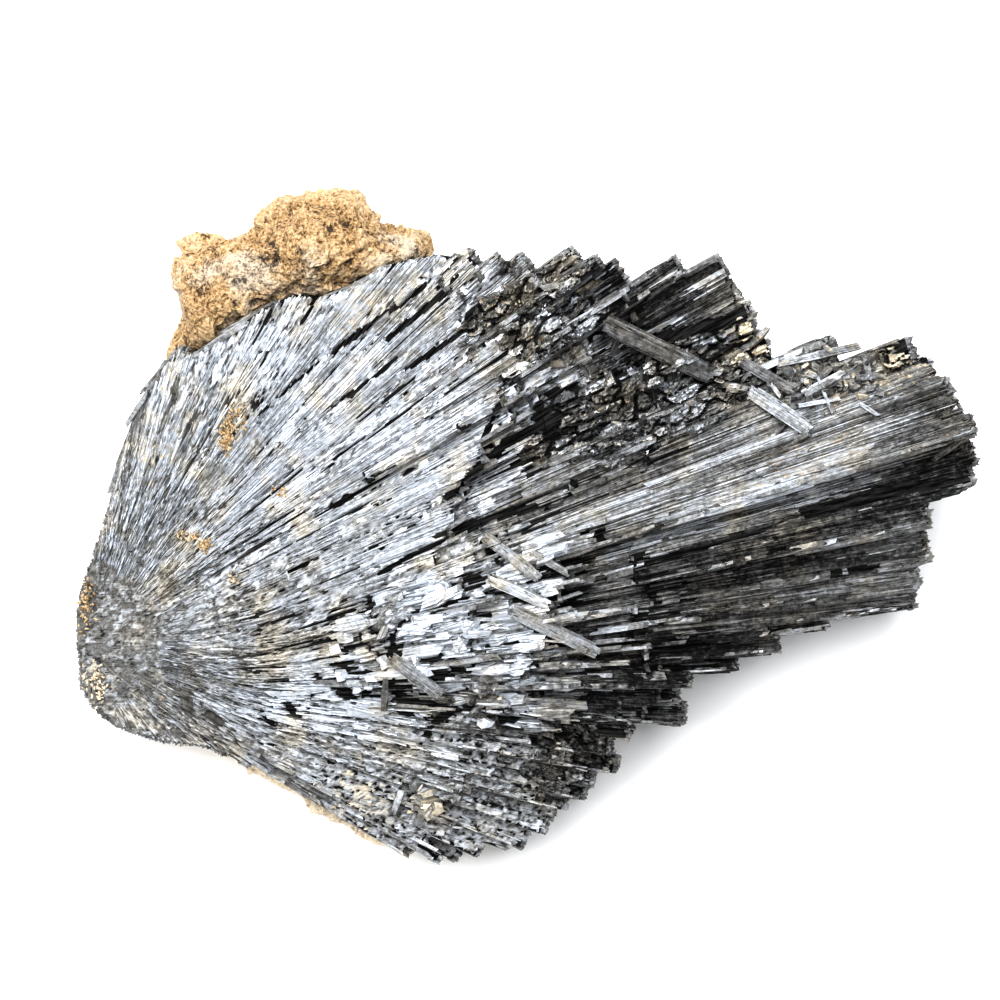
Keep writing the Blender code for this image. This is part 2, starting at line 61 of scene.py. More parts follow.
# Places on the upper side: angles and radii round the root, tone from 0, dark, to 1, bright,
# how far the laths stray and roll, how much the tone differs from bundle to bundle, how far
# the far ends stand up, how much some laths get a painted glint, and whether the metal is dull.
# Besides the metal's own tone, the tones paint in light and shade: painted light on the
# centre stack, painted shade on the face below the ridge, the upper bundles and the terraces.
# Each family is its number per square millimetre, then the least and most width, length and
# lift over the core. The bed fills the short gaps.
REGIONS = {
    "nose": dict(
        angles=(-100, 100), radii=(0.5, 21), tone=0.38, stray=12, roll=4, ends=(-0.4, -0.15),
        glint=0.0, dull=True,
        fibres=(0.35, (0.25, 0.5), (1.0, 3.4), (-0.15, 0.1)),
    ),
    "root_fan": dict(
        angles=(-22, 82), radii=(12, 30), tone=0.68, stray=5, roll=3, ends=(-0.35, -0.1),
        glint=0.0, dull=True,
        fibres=(1.0, (0.2, 0.42), (1.6, 6.0), (-0.15, 0.12)),
    ),
    "left_fan": dict(
        angles=(50, 86), radii=(22, 64), tone=0.86, stray=3, roll=4, ends=(-0.35, -0.05), glint=0.1,
        slats=(0.1, (0.5, 1.0), (2, 7), (-0.15, 0.1)),
        fibres=(1.2, (0.2, 0.42), (1.6, 7), (-0.15, 0.15)),
    ),
    "upper_fan": dict(
        angles=(26, 53), radii=(24, 84), tone=0.77, stray=0.8, roll=2.5, ends=(-0.3, 0.0),
        slats=(0.16, (0.6, 1.5), (6, 22), (-0.1, 0.25)),
        fibres=(1.6, (0.2, 0.4), (2.5, 12), (-0.05, 0.3)),
    ),
    "middle_fan": dict(
        angles=(3, 28), radii=(22, 60), tone=0.64, stray=1.6, roll=3.5, ends=(-0.3, 0.0),
        slats=(0.16, (0.5, 1.4), (3, 12), (-0.05, 0.3)),
        fibres=(1.8, (0.2, 0.38), (1.5, 8), (0.0, 0.3)),
    ),
    # Painted light: the flakes of the centre stack that face the lamp get a high tone.
    "centre_stack": dict(
        angles=(-6, 19), radii=(34, 64), tone=0.94, stray=5, roll=5,
        slats=(0.45, (0.8, 2.2), (2.0, 7.0), (0.35, 1.3)), fibres=(0.9, (0.2, 0.4), (1.2, 4.5), (0.5, 1.5)),
    ),
    "long_bundle": dict(
        angles=(15, 24.5), radii=(56, 124), tone=0.56, stray=0.4, roll=3, bundle=0.6,
        bed=(0.4, (1.0, 2.0), (8, 30), (-0.2, 0.0)), slats=(0.2, (0.5, 1.5), (10, 36), (0.0, 0.4)),
        fibres=(1.3, (0.2, 0.42), (4, 22), (0.05, 0.4)),
    ),
    # Painted shade: the face below the long bundle's ridge, turned from the light, gets a low tone.
    "painted_shade_face": dict(
        angles=(0, 16), radii=(62, 124), tone=0.18, stray=0.6, roll=3, bundle=0.44,
        bed=(0.3, (1.0, 2.0), (10, 30), (-0.2, 0.0)), slats=(0.1, (0.5, 1.4), (6, 24), (0.0, 0.4)),
        fibres=(1.3, (0.2, 0.36), (1.5, 11), (0.1, 0.5)),
    ),
    # Painted shade: the bundles under the fan's broken edge get a low tone, with painted glints on some
    # laths.
    "upper_bundles": dict(
        angles=(25, 38), radii=(82, 104), tone=0.18, stray=1.2, roll=4, glint=0.8,
        bed=(0.3, (0.8, 1.6), (3, 12), (-0.2, 0.0)), slats=(0.36, (0.4, 1.2), (4, 15), (0.0, 0.4)),
        fibres=(1.4, (0.2, 0.36), (2, 9), (0.1, 0.45)),
    ),
    # Painted shade: the terraces below the ridge get a low tone.
    "terraces": dict(
        angles=(-9, 4), radii=(44, 92), tone=0.3, stray=2.0, roll=4,
        slats=(0.34, (0.5, 1.6), (3, 14), (0.0, 0.8)), fibres=(1.2, (0.2, 0.4), (1.5, 7), (0.1, 0.8)),
    ),
    "lower_fan": dict(
        angles=(-13, 4), radii=(24, 50), tone=0.9, stray=4, roll=4,
        slats=(0.14, (0.4, 1.2), (1.5, 6), (-0.1, 0.2)), fibres=(1.7, (0.18, 0.34), (0.8, 4), (0.0, 0.3)),
    ),
    "apron": dict(
        angles=(-42, -9), radii=(13, 74), tone=0.66, stray=6, roll=3, ends=(-0.35, -0.05),
        glint=0.0, dull=True,
        slats=(0.05, (0.3, 0.7), (0.8, 3.2), (-0.1, 0.1)),
        fibres=(0.6, (0.2, 0.36), (1.0, 4.0), (-0.15, 0.1)),
    ),
}
PROFILES = {  # across and up, in shares of the width and of the depth
    "fibres": ((-0.5, -0.5), (-0.42, 0.25), (-0.05, 0.5), (0.42, 0.28), (0.5, -0.5)),
    "slats": (
        (-0.5, -0.5), (-0.5, 0.34), (-0.44, 0.47), (-0.24, 0.4), (-0.16, 0.5), (0.06, 0.38), (0.14, 0.47),
        (0.4, 0.4), (0.5, 0.28), (0.5, -0.5),
    ),
    "bed": ((-0.5, -0.5), (-0.5, 0.3), (-0.25, 0.5), (0.0, 0.36), (0.3, 0.46), (0.5, 0.3), (0.5, -0.5)),
    "chunks": ((-0.5, -0.5), (-0.5, 0.36), (-0.43, 0.5), (0.41, 0.47), (0.5, 0.3), (0.5, -0.5)),
}
SLAT_DEPTH = (0.45, 0.75)  # share of a slat's width
RUN_STEP, BREAK_RISE = 0.5, 0.65  # a lath ends where the core rises or falls so much in a step
SHORTEST = 0.8
READ_SHARES = (0.17, 0.5, 0.83)  # where along a lath the core's height is read
STEEPEST = 0.6  # most rise for a lath's length
OVERHANG = (-0.9, 0.2)  # how far a lath that a step cuts off goes past it
BUNDLE_SIZE = (1.3, 16.0)  # degrees across and millimetres along
TONE_SPREAD = 0.07
DUST, MOST_SIDE_DUST = 0.1, 0.4  # everywhere besides the patches, and the most on the sides
GLINT_SHARE = 0.09  # share of laths given a painted glint, a raised tone
GLINT, BUNDLE, END_LIFT = 0.5, 0.24, (-0.15, 0.12)  # where a region doesn't state its own

# Gaps between laths, dark with painted shade: the near-black core shows in them and the sheets sink and
# darken there. Start, end and width.
GAPS = (
    (-29.8, 26.8, -27.7, 30.5, 0.3), (-25.4, 23.0, -13.3, 31.8, 0.66), (-18.3, 24.6, -10.3, 30.9, 0.6),
    (-16.0, 20.4, -8.0, 25.6, 0.6), (-37.1, 13.2, -27.4, 21.7, 0.18), (-27.7, 14.5, -17.9, 20.8, 0.18),
    (-10.3, 17.1, -2.6, 22.6, 0.54), (-9.1, 13.2, -7.6, 12.3, 0.48), (-10.3, 3.4, -2.6, 10.5, 0.96),
    (-2.6, 10.5, 4.6, 14.5, 0.96), (-25.4, 1.5, -25.7, 3.1, 0.18), (-24.1, 1.1, -18.0, 3.1, 0.18),
    (-19.3, -6.7, -12.9, -3.1, 0.48), (-12.9, -3.1, -3.1, 0.6, 0.48), (-11.6, -1.7, 0.2, 2.4, 0.6),
    (-5.4, -2.5, -3.1, -5.4, 0.96), (1.5, -5.4, 5.7, -6.7, 0.84), (-1.0, -9.9, 5.4, -10.6, 0.96),
    (7.4, -0.8, 11.0, -2.7, 0.96), (-20.4, -10.3, -19.9, -14.4, 1.08), (-17.3, -13.4, -17.7, -18.4, 0.72),
    (-31.6, -24.4, -30.6, -25.8, 0.9), (-45.8, -22.8, -45.0, -25.6, 1.3), (-42.4, -25.8, -41.2, -26.8, 1.2),
    (-46.8, -28.7, -46.4, -28.8, 0.42), (-43.2, -29.1, -41.9, -29.1, 0.42),
    (-34.7, -13.1, -35.7, -15.0, 0.18), (-13.6, -29.3, -11.6, -26.4, 0.9), (-11.6, -26.4, -7.2, -23.9, 0.8),
    (17.0, -5.1, 38.0, 1.2, 0.9), (38.0, 1.2, 60.0, 6.0, 1.7), (22.0, -9.4, 50.0, -5.0, 0.5),
    (17.5, 24.6, 36.4, 29.5, 1.5), (24.0, 22.8, 36.4, 25.4, 0.9), (-5.6, 10.8, -3.5, 15.6, 0.7),
    (-50.9, -21.2, -50.5, -23.0, 0.7), (-34.6, -26.2, -33.8, -27.0, 0.7), (-28.2, -20.2, -27.4, -20.9, 0.5),
    (-24.4, -19.0, -23.4, -19.7, 0.5), (-47.4, -28.2, -46.2, -28.6, 0.7), (-7.2, -23.9, -2.3, -22.8, 0.5),
)

# Wide gaps where fused blocks show instead of laths, in the same form.
BLOCK_GAPS = (
    (5.5, 13.4, 28.5, 22.4, 9.0), (-6.0, 27.0, 8.0, 33.6, 4.0), (36.0, 18.2, 50.0, 21.6, 3.4),
    (0.0, 24.6, 10.5, 28.0, 5.0), (2.0, -32.0, 9.0, -30.0, 6.0),
)

# Short gaps at random: number, angles, radii, least and most length and width.
SHORT_GAPS = (
    (80, (28, 80), (22, 80), (3, 12), (0.04, 0.16)),
    (40, (4, 28), (20, 60), (2, 7), (0.04, 0.16)),
    (50, (4, 24), (60, 120), (6, 22), (0.08, 0.34)),
    (30, (1, 14), (66, 116), (6, 20), (0.2, 0.6)),
    (50, (-19, 4), (40, 90), (3, 10), (0.2, 0.7)),
    (60, (-6, 18), (34, 64), (1.5, 4), (0.3, 0.8)),
)

# Soft round patches: plan place, size and amount.
DUST_PATCHES = (
    (-39.8, 12.4, 3.0, 0.42), (-43.0, -3.0, 3.0, 0.3), (-38.9, -7.7, 2.0, 0.3), (-50.5, 8.1, 4.0, 0.3),
    (-47.5, 20.3, 4.0, 0.3), (-59.1, -10.5, 3.0, 0.3), (-57.6, -20.1, 4.0, 0.3), (-49.5, -24.2, 4.0, 0.2),
    (-22.3, 28.3, 5.0, 0.3), (-10.1, 34.9, 5.0, 0.3), (6.0, 34.4, 4.0, 0.3), (27.2, 33.4, 2.5, 0.3),
    (30.3, 25.3, 3.0, 0.3), (55.5, 12.7, 4.0, 0.22), (33.3, 22.8, 4.0, 0.3), (48.4, 20.3, 5.0, 0.3),
    (38.3, 9.2, 5.0, 0.25), (14.1, -3.0, 5.0, 0.2), (-22.3, -36.3, 6.0, 0.25),
)
# Tone patches: partly the metal's own tone, partly painted light and shade. The row of negative patches along
# the face below the long bundle's ridge paints its shade, and the strongest positive patches paint light on
# the brightest flakes of the centre stack and lower fan.
TONE_LIGHT_AND_SHADE_PATCHES = (
    (-9.9, -10.5, 8.5, 0.22), (-25.3, -23.8, 4.5, 0.38), (-20.2, 8.1, 13.0, 0.08),
    (-57.6, -15.2, 2.8, -0.3), (-45.0, -25.0, 4.0, -0.1), (-51.5, 2.1, 7.0, -0.06),
    (-36.5, -22.0, 6.0, 0.1), (-15.2, -36.3, 11.0, -0.1), (4.0, -33.3, 7.0, -0.2), (15.1, 16.2, 9.0, -0.28),
    (2.0, 14.2, 4.0, -0.25), (-4.1, 33.4, 6.0, -0.22), (10.1, 33.4, 6.0, -0.25), (8.0, -5.0, 5.0, -0.1),
    (5.5, -24.5, 4.5, -0.22), (4.0, -19.5, 4.0, -0.12), (13.6, -9.8, 5.0, 0.2), (25.0, -7.5, 5.0, 0.06),
    (27.0, -3.6, 3.0, -0.2), (33.0, -1.8, 3.0, -0.2), (39.0, -0.2, 3.0, -0.2), (45.0, 1.4, 3.0, -0.2),
    (51.0, 2.8, 3.0, -0.2), (54.5, 13.2, 8.0, -0.48), (44.4, 20.3, 7.0, -0.44), (22.2, -18.6, 7.0, -0.5),
    (10.1, -22.1, 6.0, -0.12), (-13.5, 26.0, 8.0, -0.18),
)

# Laths over the sides and the underside: the faces' normals' Z, number per square
# millimetre, width and length.
WALLS = (
    ("side_laths", (-0.35, 0.45), 0.64, (0.35, 1.3), (2.5, 8)),
    ("underside_laths", (-1.1, -0.35), 0.18, (0.8, 2.0), (4, 14)),
)
FAR = 24.0  # distance from the root beyond which the laths are long
RIM = 1.5  # how near the outline a side lath is
NEAR_SIDE = (0.4, -26.0, 0.55)  # slope and Y of a line in plan, and the laths' width before it

# Broken ends on the steep faces: the faces' normals' Z, number per square millimetre, widths,
# size of a bundle, and how far a bundle and one of its laths stand out.
ENDS = ((-0.5, 0.75), 1.7, (0.4, 1.15), 2.6, 0.5, 0.3)
ENDS_BY_ROCK = (47, 71, 40.0)  # no broken ends between these directions beyond this radius

# Broken chunks: plan place, spread, number, tone and share of dust. Then their widths, and the
# mean and spread of their turn and pitch.
RUBBLE = (
    (13.1, 17.7, 7.5, 70, 0.34, 0.2), (27.2, 19.8, 6.0, 60, 0.36, 0.25), (38.3, 20.3, 4.5, 110, 0.42, 0.25),
    (45.4, 19.3, 3.5, 80, 0.44, 0.25), (2.0, 31.9, 6.0, 60, 0.25, 0.25), (-17.2, -12.0, 2.2, 50, 0.5, 0.0),
    (-5.1, -23.2, 3.0, 50, 0.42, 0.1), (-13.2, -38.0, 2.4, 34, 0.5, 0.25),
)
RUBBLE_WIDTH, RUBBLE_TURN, RUBBLE_PITCH = (0.35, 1.1), (22.0, 34.0), (0.0, 16.0)

# Broken ends fused in blocks, and grains: name, plan middle, way of the laths, half length and
# half width of the field, space between the sheet's points, then its cells: length and width,
# height over the core, least and most tone, dust, and how much painted shade darkens the cracks.
BLOCK_FIELDS = (
    ("hollow_blocks", (18.4, 17.8), 24, (21.0, 8.6), 0.22, ((4.2, 1.5), 2.3, (0.24, 0.88), 0.3, 0.9)),
    ("edge_blocks", (2.3, 31.4), 32, (15.0, 3.8), 0.22, ((3.8, 1.4), 2.0, (0.08, 0.66), 0.35, 1.0)),
    ("shoulder_blocks", (4.8, 26.0), 32, (9.0, 5.2), 0.22, ((4.2, 1.4), 2.1, (0.26, 0.86), 0.3, 0.9)),
    ("tip_blocks", (43.2, 19.9), 14, (11.0, 3.4), 0.21, ((2.6, 0.9), 1.0, (0.14, 0.7), 0.35, 1.0)),
    ("nose_grains", (-49.6, -16.6), 0, (13.6, 17.0), 0.27, ((1.5, 0.9), 0.26, (0.32, 0.62), 0.16, 0.5)),
    ("apron_grains", (-12.0, -35.2), -10, (27.0, 12.0), 0.32, ((1.5, 0.75), 0.36, (0.5, 0.8), 0.24, 0.6)),
    ("apron_blocks", (5.6, -32.4), -18, (7.0, 7.6), 0.23, ((2.2, 1.0), 1.4, (0.04, 0.5), 0.2, 1.0)),
)

# Fused laths as sheets round the root: name, angles, radii, space between the points in degrees
# and in radius, then the cells as above.
FAN_FIELDS = (
    ("upper_sheet", (27, 94), (9, 80), (0.3, 0.5), ((5.0, 0.9), 0.42, (0.72, 0.96), 0.14, 0.5)),
    ("middle_sheet", (-20, 27.2), (9, 61), (0.3, 0.5), ((4.0, 0.8), 0.45, (0.56, 0.86), 0.12, 0.6)),
    ("lower_sheet", (-64, -19.6), (7, 36), (0.5, 0.5), ((2.4, 0.9), 0.36, (0.54, 0.84), 0.2, 0.6)),
)
DEGREE_WIDTH = 0.7  # width of a degree on a sheet's own map
SHEET_DEPTH = 1.4
CRACK, FINE_CRACK = 0.1, 0.12  # shares of a cell
DULL_FIELDS = ("nose_grains", "apron_grains", "apron_blocks", "lower_sheet")

# Ochre crumbs caught between the laths: plan place, spread along X and Y, and number.
CRUMBS = (
    (-39.9, 11.2, 0.45, 1.0, 170), (-39.0, 13.8, 0.9, 1.0, 50), (-43.0, -3.0, 0.5, 0.5, 50),
    (-39.2, -7.4, 0.35, 0.4, 20), (-45.1, -1.8, 0.8, 0.5, 30), (-59.2, -10.6, 0.6, 1.9, 70),
    (-57.8, -22.1, 0.8, 1.2, 50), (-32.9, 4.1, 0.6, 0.6, 16),
)
CRUMB_SIZE = (0.16, 0.4)

# Small broken laths lying across: start, end, width and tone.
STRAY_LATHS = (
    (-18.5, -21.0, -18.7, -25.1, 1.0, 0.35), (45.0, 16.0, 47.5, 14.4, 0.6, 0.7),
    (34.2, 21.3, 45.0, 23.8, 1.2, 0.6), (1.1, -3.9, 5.7, -6.6, 1.1, 0.4),
    (36.8, 15.7, 42.4, 16.7, 0.7, 0.8), (39.3, 19.8, 41.4, 14.7, 0.5, 0.75),
)

# The eight loose laths: the main strip's share of the width and height, the number of finer
# strips on it and their least and most shares, and the laths' tones and dust.
LOOSE_MAIN = (0.72, 0.8)
LOOSE_STRIPS, LOOSE_WIDTHS, LOOSE_DEPTHS = 12, (0.16, 0.42), (0.4, 0.75)
LOOSE_TONES = (0.62, 0.74, 0.7, 0.56, 0.36, 0.46, 0.6, 0.68)
LOOSE_DUST = (0.08, 0.04, 0.12, 0.08, 0.14, 0.14, 0.18, 0.1)

# The rock: space between its points, rounds of smoothing, and its facets' size, share and seed.
ROCK_GRID, ROCK_ROUNDS = 0.49, 26
ROCK_FACETS = ((6.0, 0.5, 30), (2.2, 0.4, 36))

# The camera looks straight down from over the specimen's middle.
PIXEL, PICTURE = 0.1346, 1000
FOCUS_HEIGHT, CAMERA_HEIGHT = 25.0, 1900.0
AXIS = (-3.2, 3.1)
LIGHTS = (  # name, place, size and power in watts, and colour
    ("key", (-0.1, 0.5, 1.5), (1.5, 1.25), 78.0, (0.97, 0.985, 1.0)),
    ("side", (-1.3, 0.2, 0.9), (0.8, 0.8), 9.0, (1.0, 0.98, 0.95)),
    ("low_right", (1.5, -0.5, 0.3), (0.9, 0.5), 5.0, (1.0, 1.0, 1.0)),
    ("low_left", (-1.2, -1.2, 0.3), (0.9, 0.5), 4.0, (1.0, 1.0, 1.0)),
)
AIM = (0.0, 0.0, 0.02)  # the lights' aim, in metres like their places
ROOM_COLOR, ROOM_STRENGTH = (0.94, 0.96, 1.0, 1.0), 0.3
GAMMA = 0.75
RAY_TURN, RAY_RUN = 230.0, 160.0  # streaks between the laths: how fine across and along the rays
BOWL_FLAT, BOWL_RADIUS, BOWL_HEIGHT = 2.0, 3.0, 2.4  # flat floor's radius, wall's radius and height


def unit(vectors):
    """Each vector divided by its own length."""
    return vectors / np.maximum(np.linalg.norm(vectors, axis=-1, keepdims=True), 1e-12)


def limited(values, most=1.0):
    """The values, held between 0 and the most."""
    return np.clip(values, 0.0, most)


def columns(*arrays):
    """Arrays side by side along a new last axis."""
    return np.stack(arrays, axis=-1)


def dot(first, second):
    """Products of the vectors' parts, added up."""
    return (first * second).sum(axis=-1)


def lifted(plan, heights):
    """Plan places with their heights as the third number."""
    return np.concatenate([plan, heights[..., None]], axis=-1)


def chosen(mask, *arrays):
    """The rows of each array where the mask is true."""
    return [array[mask] for array in arrays]


def whole_array(items, name, width, kind=float):
    """One property of all a mesh's items, in rows of the given width."""
    values = np.empty(len(items) * width, kind)
    items.foreach_get(name, values)
    return values.reshape(-1, width)


def fill(items, name, values, kind=np.float32):
    """The same, set from an array."""
    items.foreach_set(name, values.astype(kind).reshape(-1))


def placed(name, data):
    """A new object in the scene."""
    thing = bpy.data.objects.new(name, data)
    bpy.context.collection.objects.link(thing)
    return thing


def node_triangles(name):
    """Corner points of a node's triangles, as (triangles, 3, 3) in millimetres."""
    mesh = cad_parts[name].data
    mesh.calc_loop_triangles()
    corners = whole_array(mesh.loop_triangles, "vertices", 3, int)
    return whole_array(mesh.vertices, "co", 3)[corners] / MM


class Relief:
    """Heights of a solid's upper side on a square grid, from rays cast down at it."""

    STEP = 0.25
    ABOVE = 200.0

    def __init__(self, triangles):
        flat = triangles.reshape(-1, 3)
        tree = BVHTree.FromPolygons(flat.tolist(), np.arange(len(flat)).reshape(-1, 3).tolist())
        self.low = flat[:, :2].min(axis=0) - 1.0
        counts = np.ceil((flat[:, :2].max(axis=0) + 1.0 - self.low) / self.STEP).astype(int)
        xs = self.low[0] + self.STEP * np.arange(counts[0])
        ys = self.low[1] + self.STEP * np.arange(counts[1])
        down = Vector((0.0, 0.0, -1.0))
        hits = [tree.ray_cast(Vector((x, y, self.ABOVE)), down)[0] for x in xs for y in ys]
        self.heights = np.array([hit.z if hit else np.nan for hit in hits]).reshape(counts)

    def at(self, places):
        """Height at each plan place, by the nearest grid point. NaN is past the outline."""
        index = np.rint((places[..., :2] - self.low) / self.STEP).astype(int)
        inside = np.all((index >= 0) & (index < self.heights.shape), axis=-1)
        index = np.clip(index, 0, np.array(self.heights.shape) - 1)
        return np.where(inside, self.heights[index[..., 0], index[..., 1]], np.nan)


def eased(share):
    """A share from 0 to 1 with a level start and end: 3 * share squared - 2 * share cubed."""
    return share * share * (3.0 - 2.0 * share)


def plan_points(angle, radius):
    """Plan places along the lath directions: straight rays whose root slides along Y."""
    share = eased(limited(radius / SLIDE_REACH))
    slide = np.interp(angle, SLIDE_ANGLES, SLIDES)
    turn = np.radians(angle)
    return columns(ROOT[0] + radius * np.cos(turn), ROOT[1] + slide * share + radius * np.sin(turn))


def lattice_values(cells, seed):
    """A fixed random number from 0 to 1 for each whole-numbered lattice cell."""
    primes = np.array((73856093, 19349663, 83492791))[: cells.shape[-1]]
    mixed = (cells.astype(np.int64) * primes).sum(axis=-1) + seed * 2654435761
    mixed = ((mixed ^ (mixed >> 13)) * 1274126177) & 0x7FFFFFFF
    return ((mixed ^ (mixed >> 16)) & 0xFFFF) / 65535.0


def lattice_vectors(cells, seeds):
    """Such numbers for each seed, as the axes of a vector."""
    return columns(*(lattice_values(cells, seed) for seed in seeds))


def smooth_noise(places, size, seed):
    """Value noise from 0 to 1: lattice values, eased between the corners of each cell."""
    scaled = np.asarray(places, float) / size
    whole = np.floor(scaled)
    part = eased(scaled - whole)
    total = np.zeros(scaled.shape[:-1])
    for corner in np.ndindex(*(2,) * scaled.shape[-1]):
        offset = np.array(corner)
        weight = np.prod(np.where(offset == 1, part, 1.0 - part), axis=-1)
        total += weight * lattice_values(whole + offset, seed)
    return total


def nearest_cells(points, size, seed):
    """Distances to the nearest and next of one random point in each lattice cell, in cell
    sizes, with the nearest point's place and its cell's whole numbers."""
    scaled = points / size
    whole = np.floor(scaled)
    axes = scaled.shape[-1]
    nearest, following = np.full(len(points), 9.0), np.full(len(points), 9.0)
    centre, owner = np.zeros_like(scaled), np.zeros_like(scaled)
    for step in np.ndindex(*(3,) * axes):
        cell = whole + np.array(step) - 1.0
        spot = cell + lattice_vectors(cell, range(seed, seed + 20 * axes, 20))
        away = np.linalg.norm(spot - scaled, axis=-1)
        closer = away < nearest
        following = np.where(closer, nearest, np.minimum(following, away))
        nearest = np.minimum(nearest, away)
        centre = np.where(closer[:, None], spot, centre)
        owner = np.where(closer[:, None], cell, owner)
    return nearest, following, centre * size, owner


def patches_at(places, patches):
    """Sum of soft round patches: amount * exp(-(distance / size) squared)."""
    total = np.zeros(places.shape[:-1])
    for x, y, size, amount in patches:
        away = np.hypot(places[..., 0] - x, places[..., 1] - y) / size
        total += amount * np.exp(-away * away)
    return total


def short_gaps(rng):
    """Random gaps that run with the laths, in the same form as GAPS."""
    found = []
    for count, angles, radii, lengths, widths in SHORT_GAPS:
        angle = rng.uniform(*angles, count)
        radius = rng.uniform(*radii, count)
        starts = plan_points(angle, radius)
        ends = plan_points(angle, radius + rng.uniform(*lengths, count))
        found.append(np.concatenate([starts, ends, rng.uniform(*widths, (count, 1))], axis=1))
    return np.concatenate(found)


def in_gap(places, half_width, gaps):
    """True where a lath's middle line comes so near a dark gap that the lath would cover it."""
    found = np.zeros(places.shape[:-1], bool)
    for ax, ay, bx, by, wide in gaps:
        way = np.array((bx - ax, by - ay))
        offset = places - np.array((ax, ay))
        share = limited((offset @ way) / (way @ way))
        away = np.hypot(offset[..., 0] - share * way[0], offset[..., 1] - share * way[1])
        found |= away < 0.5 * wide + np.minimum(0.6 * half_width, 0.14)
    return found


def new_piece(name, points, face_groups, material, uv, values):
    """A flat-shaded object from whole arrays of points, faces, map places and point values."""
    mesh = bpy.data.meshes.new(name)
    loops = np.concatenate([faces.reshape(-1) for faces in face_groups])
    sizes = np.concatenate([np.full(len(faces), faces.shape[1]) for faces in face_groups])
    starts = np.concatenate([[0], np.cumsum(sizes)[:-1]])
    mesh.vertices.add(len(points))
    fill(mesh.vertices, "co", points * MM)
    mesh.loops.add(len(loops))
    fill(mesh.loops, "vertex_index", loops, np.int32)
    mesh.polygons.add(len(sizes))
    fill(mesh.polygons, "loop_start", starts, np.int32)
    if uv is not None:
        fill(mesh.uv_layers.new(name="along").data, "uv", uv[loops])
    for title, data in values.items():
        fill(mesh.attributes.new(title, "FLOAT", "POINT").data, "value", data)
    mesh.update(calc_edges=True)
    mesh.validate()
    mesh.shade_flat()
    mesh.materials.append(material)
    piece = placed(name, mesh)
    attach(piece, "root")
    return piece


def lath_arrays(spine, side, up, width, depth, profile, rng, tone, dust):
    """Laths: a closed profile carried along each spine, narrowed and slanted at its ends.

    Point = spine + across * width * side + height * depth * up, and each end's ring is also
    pushed along the lath by a slant times its own across and height, which breaks it off."""
    section = np.array(PROFILES[profile])
    count, stations, ring = len(spine), spine.shape[1], len(section)
    narrow = np.ones((count, stations))
    narrow[:, 0] = rng.uniform(0.6, 1.0, count)
    narrow[:, -1] = rng.uniform(0.5, 1.0, count)
    across = section[:, 0] * (narrow * width[:, None])[..., None]
    height = np.where(section[:, 1] > 0, narrow[..., None], 1.0) * section[:, 1] * depth[:, None, None]
    along = unit(spine[:, -1] - spine[:, 0])
    slant = rng.uniform(-0.9, 0.9, (count, stations, 2))
    slant[:, 1:-1] = 0.0
    push = slant[..., :1] * across + slant[..., 1:] * height
    points = (
        spine[:, :, None]
        + across[..., None] * side[:, None, None]
        + height[..., None] * up[:, None, None]
        + push[..., None] * along[:, None, None]
    )
    base = np.arange(count)[:, None, None] * stations * ring
    row = base + np.arange(stations - 1)[None, :, None] * ring
    corner = np.arange(ring)[None, None, :]
    after = (corner + 1) % ring
    quads = columns(row + corner, row + after, row + ring + after, row + ring + corner)
    first = base[:, 0] + np.arange(ring)[None, ::-1]
    last = base[:, 0] + (stations - 1) * ring + np.arange(ring)[None]
    travelled = np.linalg.norm(np.diff(spine, axis=1), axis=-1)
    travelled = np.concatenate([np.zeros((count, 1)), np.cumsum(travelled, axis=1)], axis=1)
    offset = rng.uniform(0.0, 60.0, (count, 2))
    about = np.concatenate([[0.0], np.cumsum(np.hypot(*np.diff(section, axis=0).T))])
    spread = np.ones((1, stations, ring))
    run = (travelled + offset[:, :1])[..., None] * spread
    turn = (about * width[:, None, None] + offset[:, 1:, None]) * spread
    return {
        "points": points.reshape(-1, 3),
        "quads": quads.reshape(-1, 4),
        "caps": np.concatenate([first, last])[:, ::-1],
        "uv": columns(run, turn).reshape(-1, 2),
        "tone": (tone[:, None, None] * spread).reshape(-1),
        "dust": (dust[:, None, None] * spread).reshape(-1),
    }


def lath_piece(name, groups, material):
    """One object from several lath arrays, with each one's face numbers moved along."""
    starts = np.cumsum([0] + [len(group["points"]) for group in groups[:-1]])
    quads = np.concatenate([group["quads"] + start for group, start in zip(groups, starts)])
    caps = [group["caps"] + start for group, start in zip(groups, starts)]
    points, uv, tone, dust = (
        np.concatenate([group[part] for group in groups]) for part in ("points", "uv", "tone", "dust")
    )
    return new_piece(
        name, points, [quads[:, ::-1], *caps], material, uv, {"tone": tone, "dust": dust}
    )


def level_across(along):
    """Level direction across each lath."""
    return unit(np.cross((0.0, 0.0, 1.0), along))


def rolled(tangent, level, roll):
    """Side and up directions of a lath, turned about its length by roll."""
    up = np.cross(tangent, level)
    side = level * np.cos(roll)[:, None] + up * np.sin(roll)[:, None]
    return side, np.cross(tangent, side)


def wobbled(along, level, degrees, rng):
    """The same with a random roll of about so many degrees."""
    return rolled(along, level, np.radians(rng.normal(0.0, degrees, len(along))))


def straight(start, along, travel):
    """Points of each lath: start + along * travel."""
    return start[:, None] + along[:, None] * travel[..., None]


def turned(directions, angles):
    """Plan directions turned by angles in radians."""
    cos, sin = np.cos(angles), np.sin(angles)
    x, y = directions[:, 0], directions[:, 1]
    return columns(x * cos - y * sin, x * sin + y * cos)


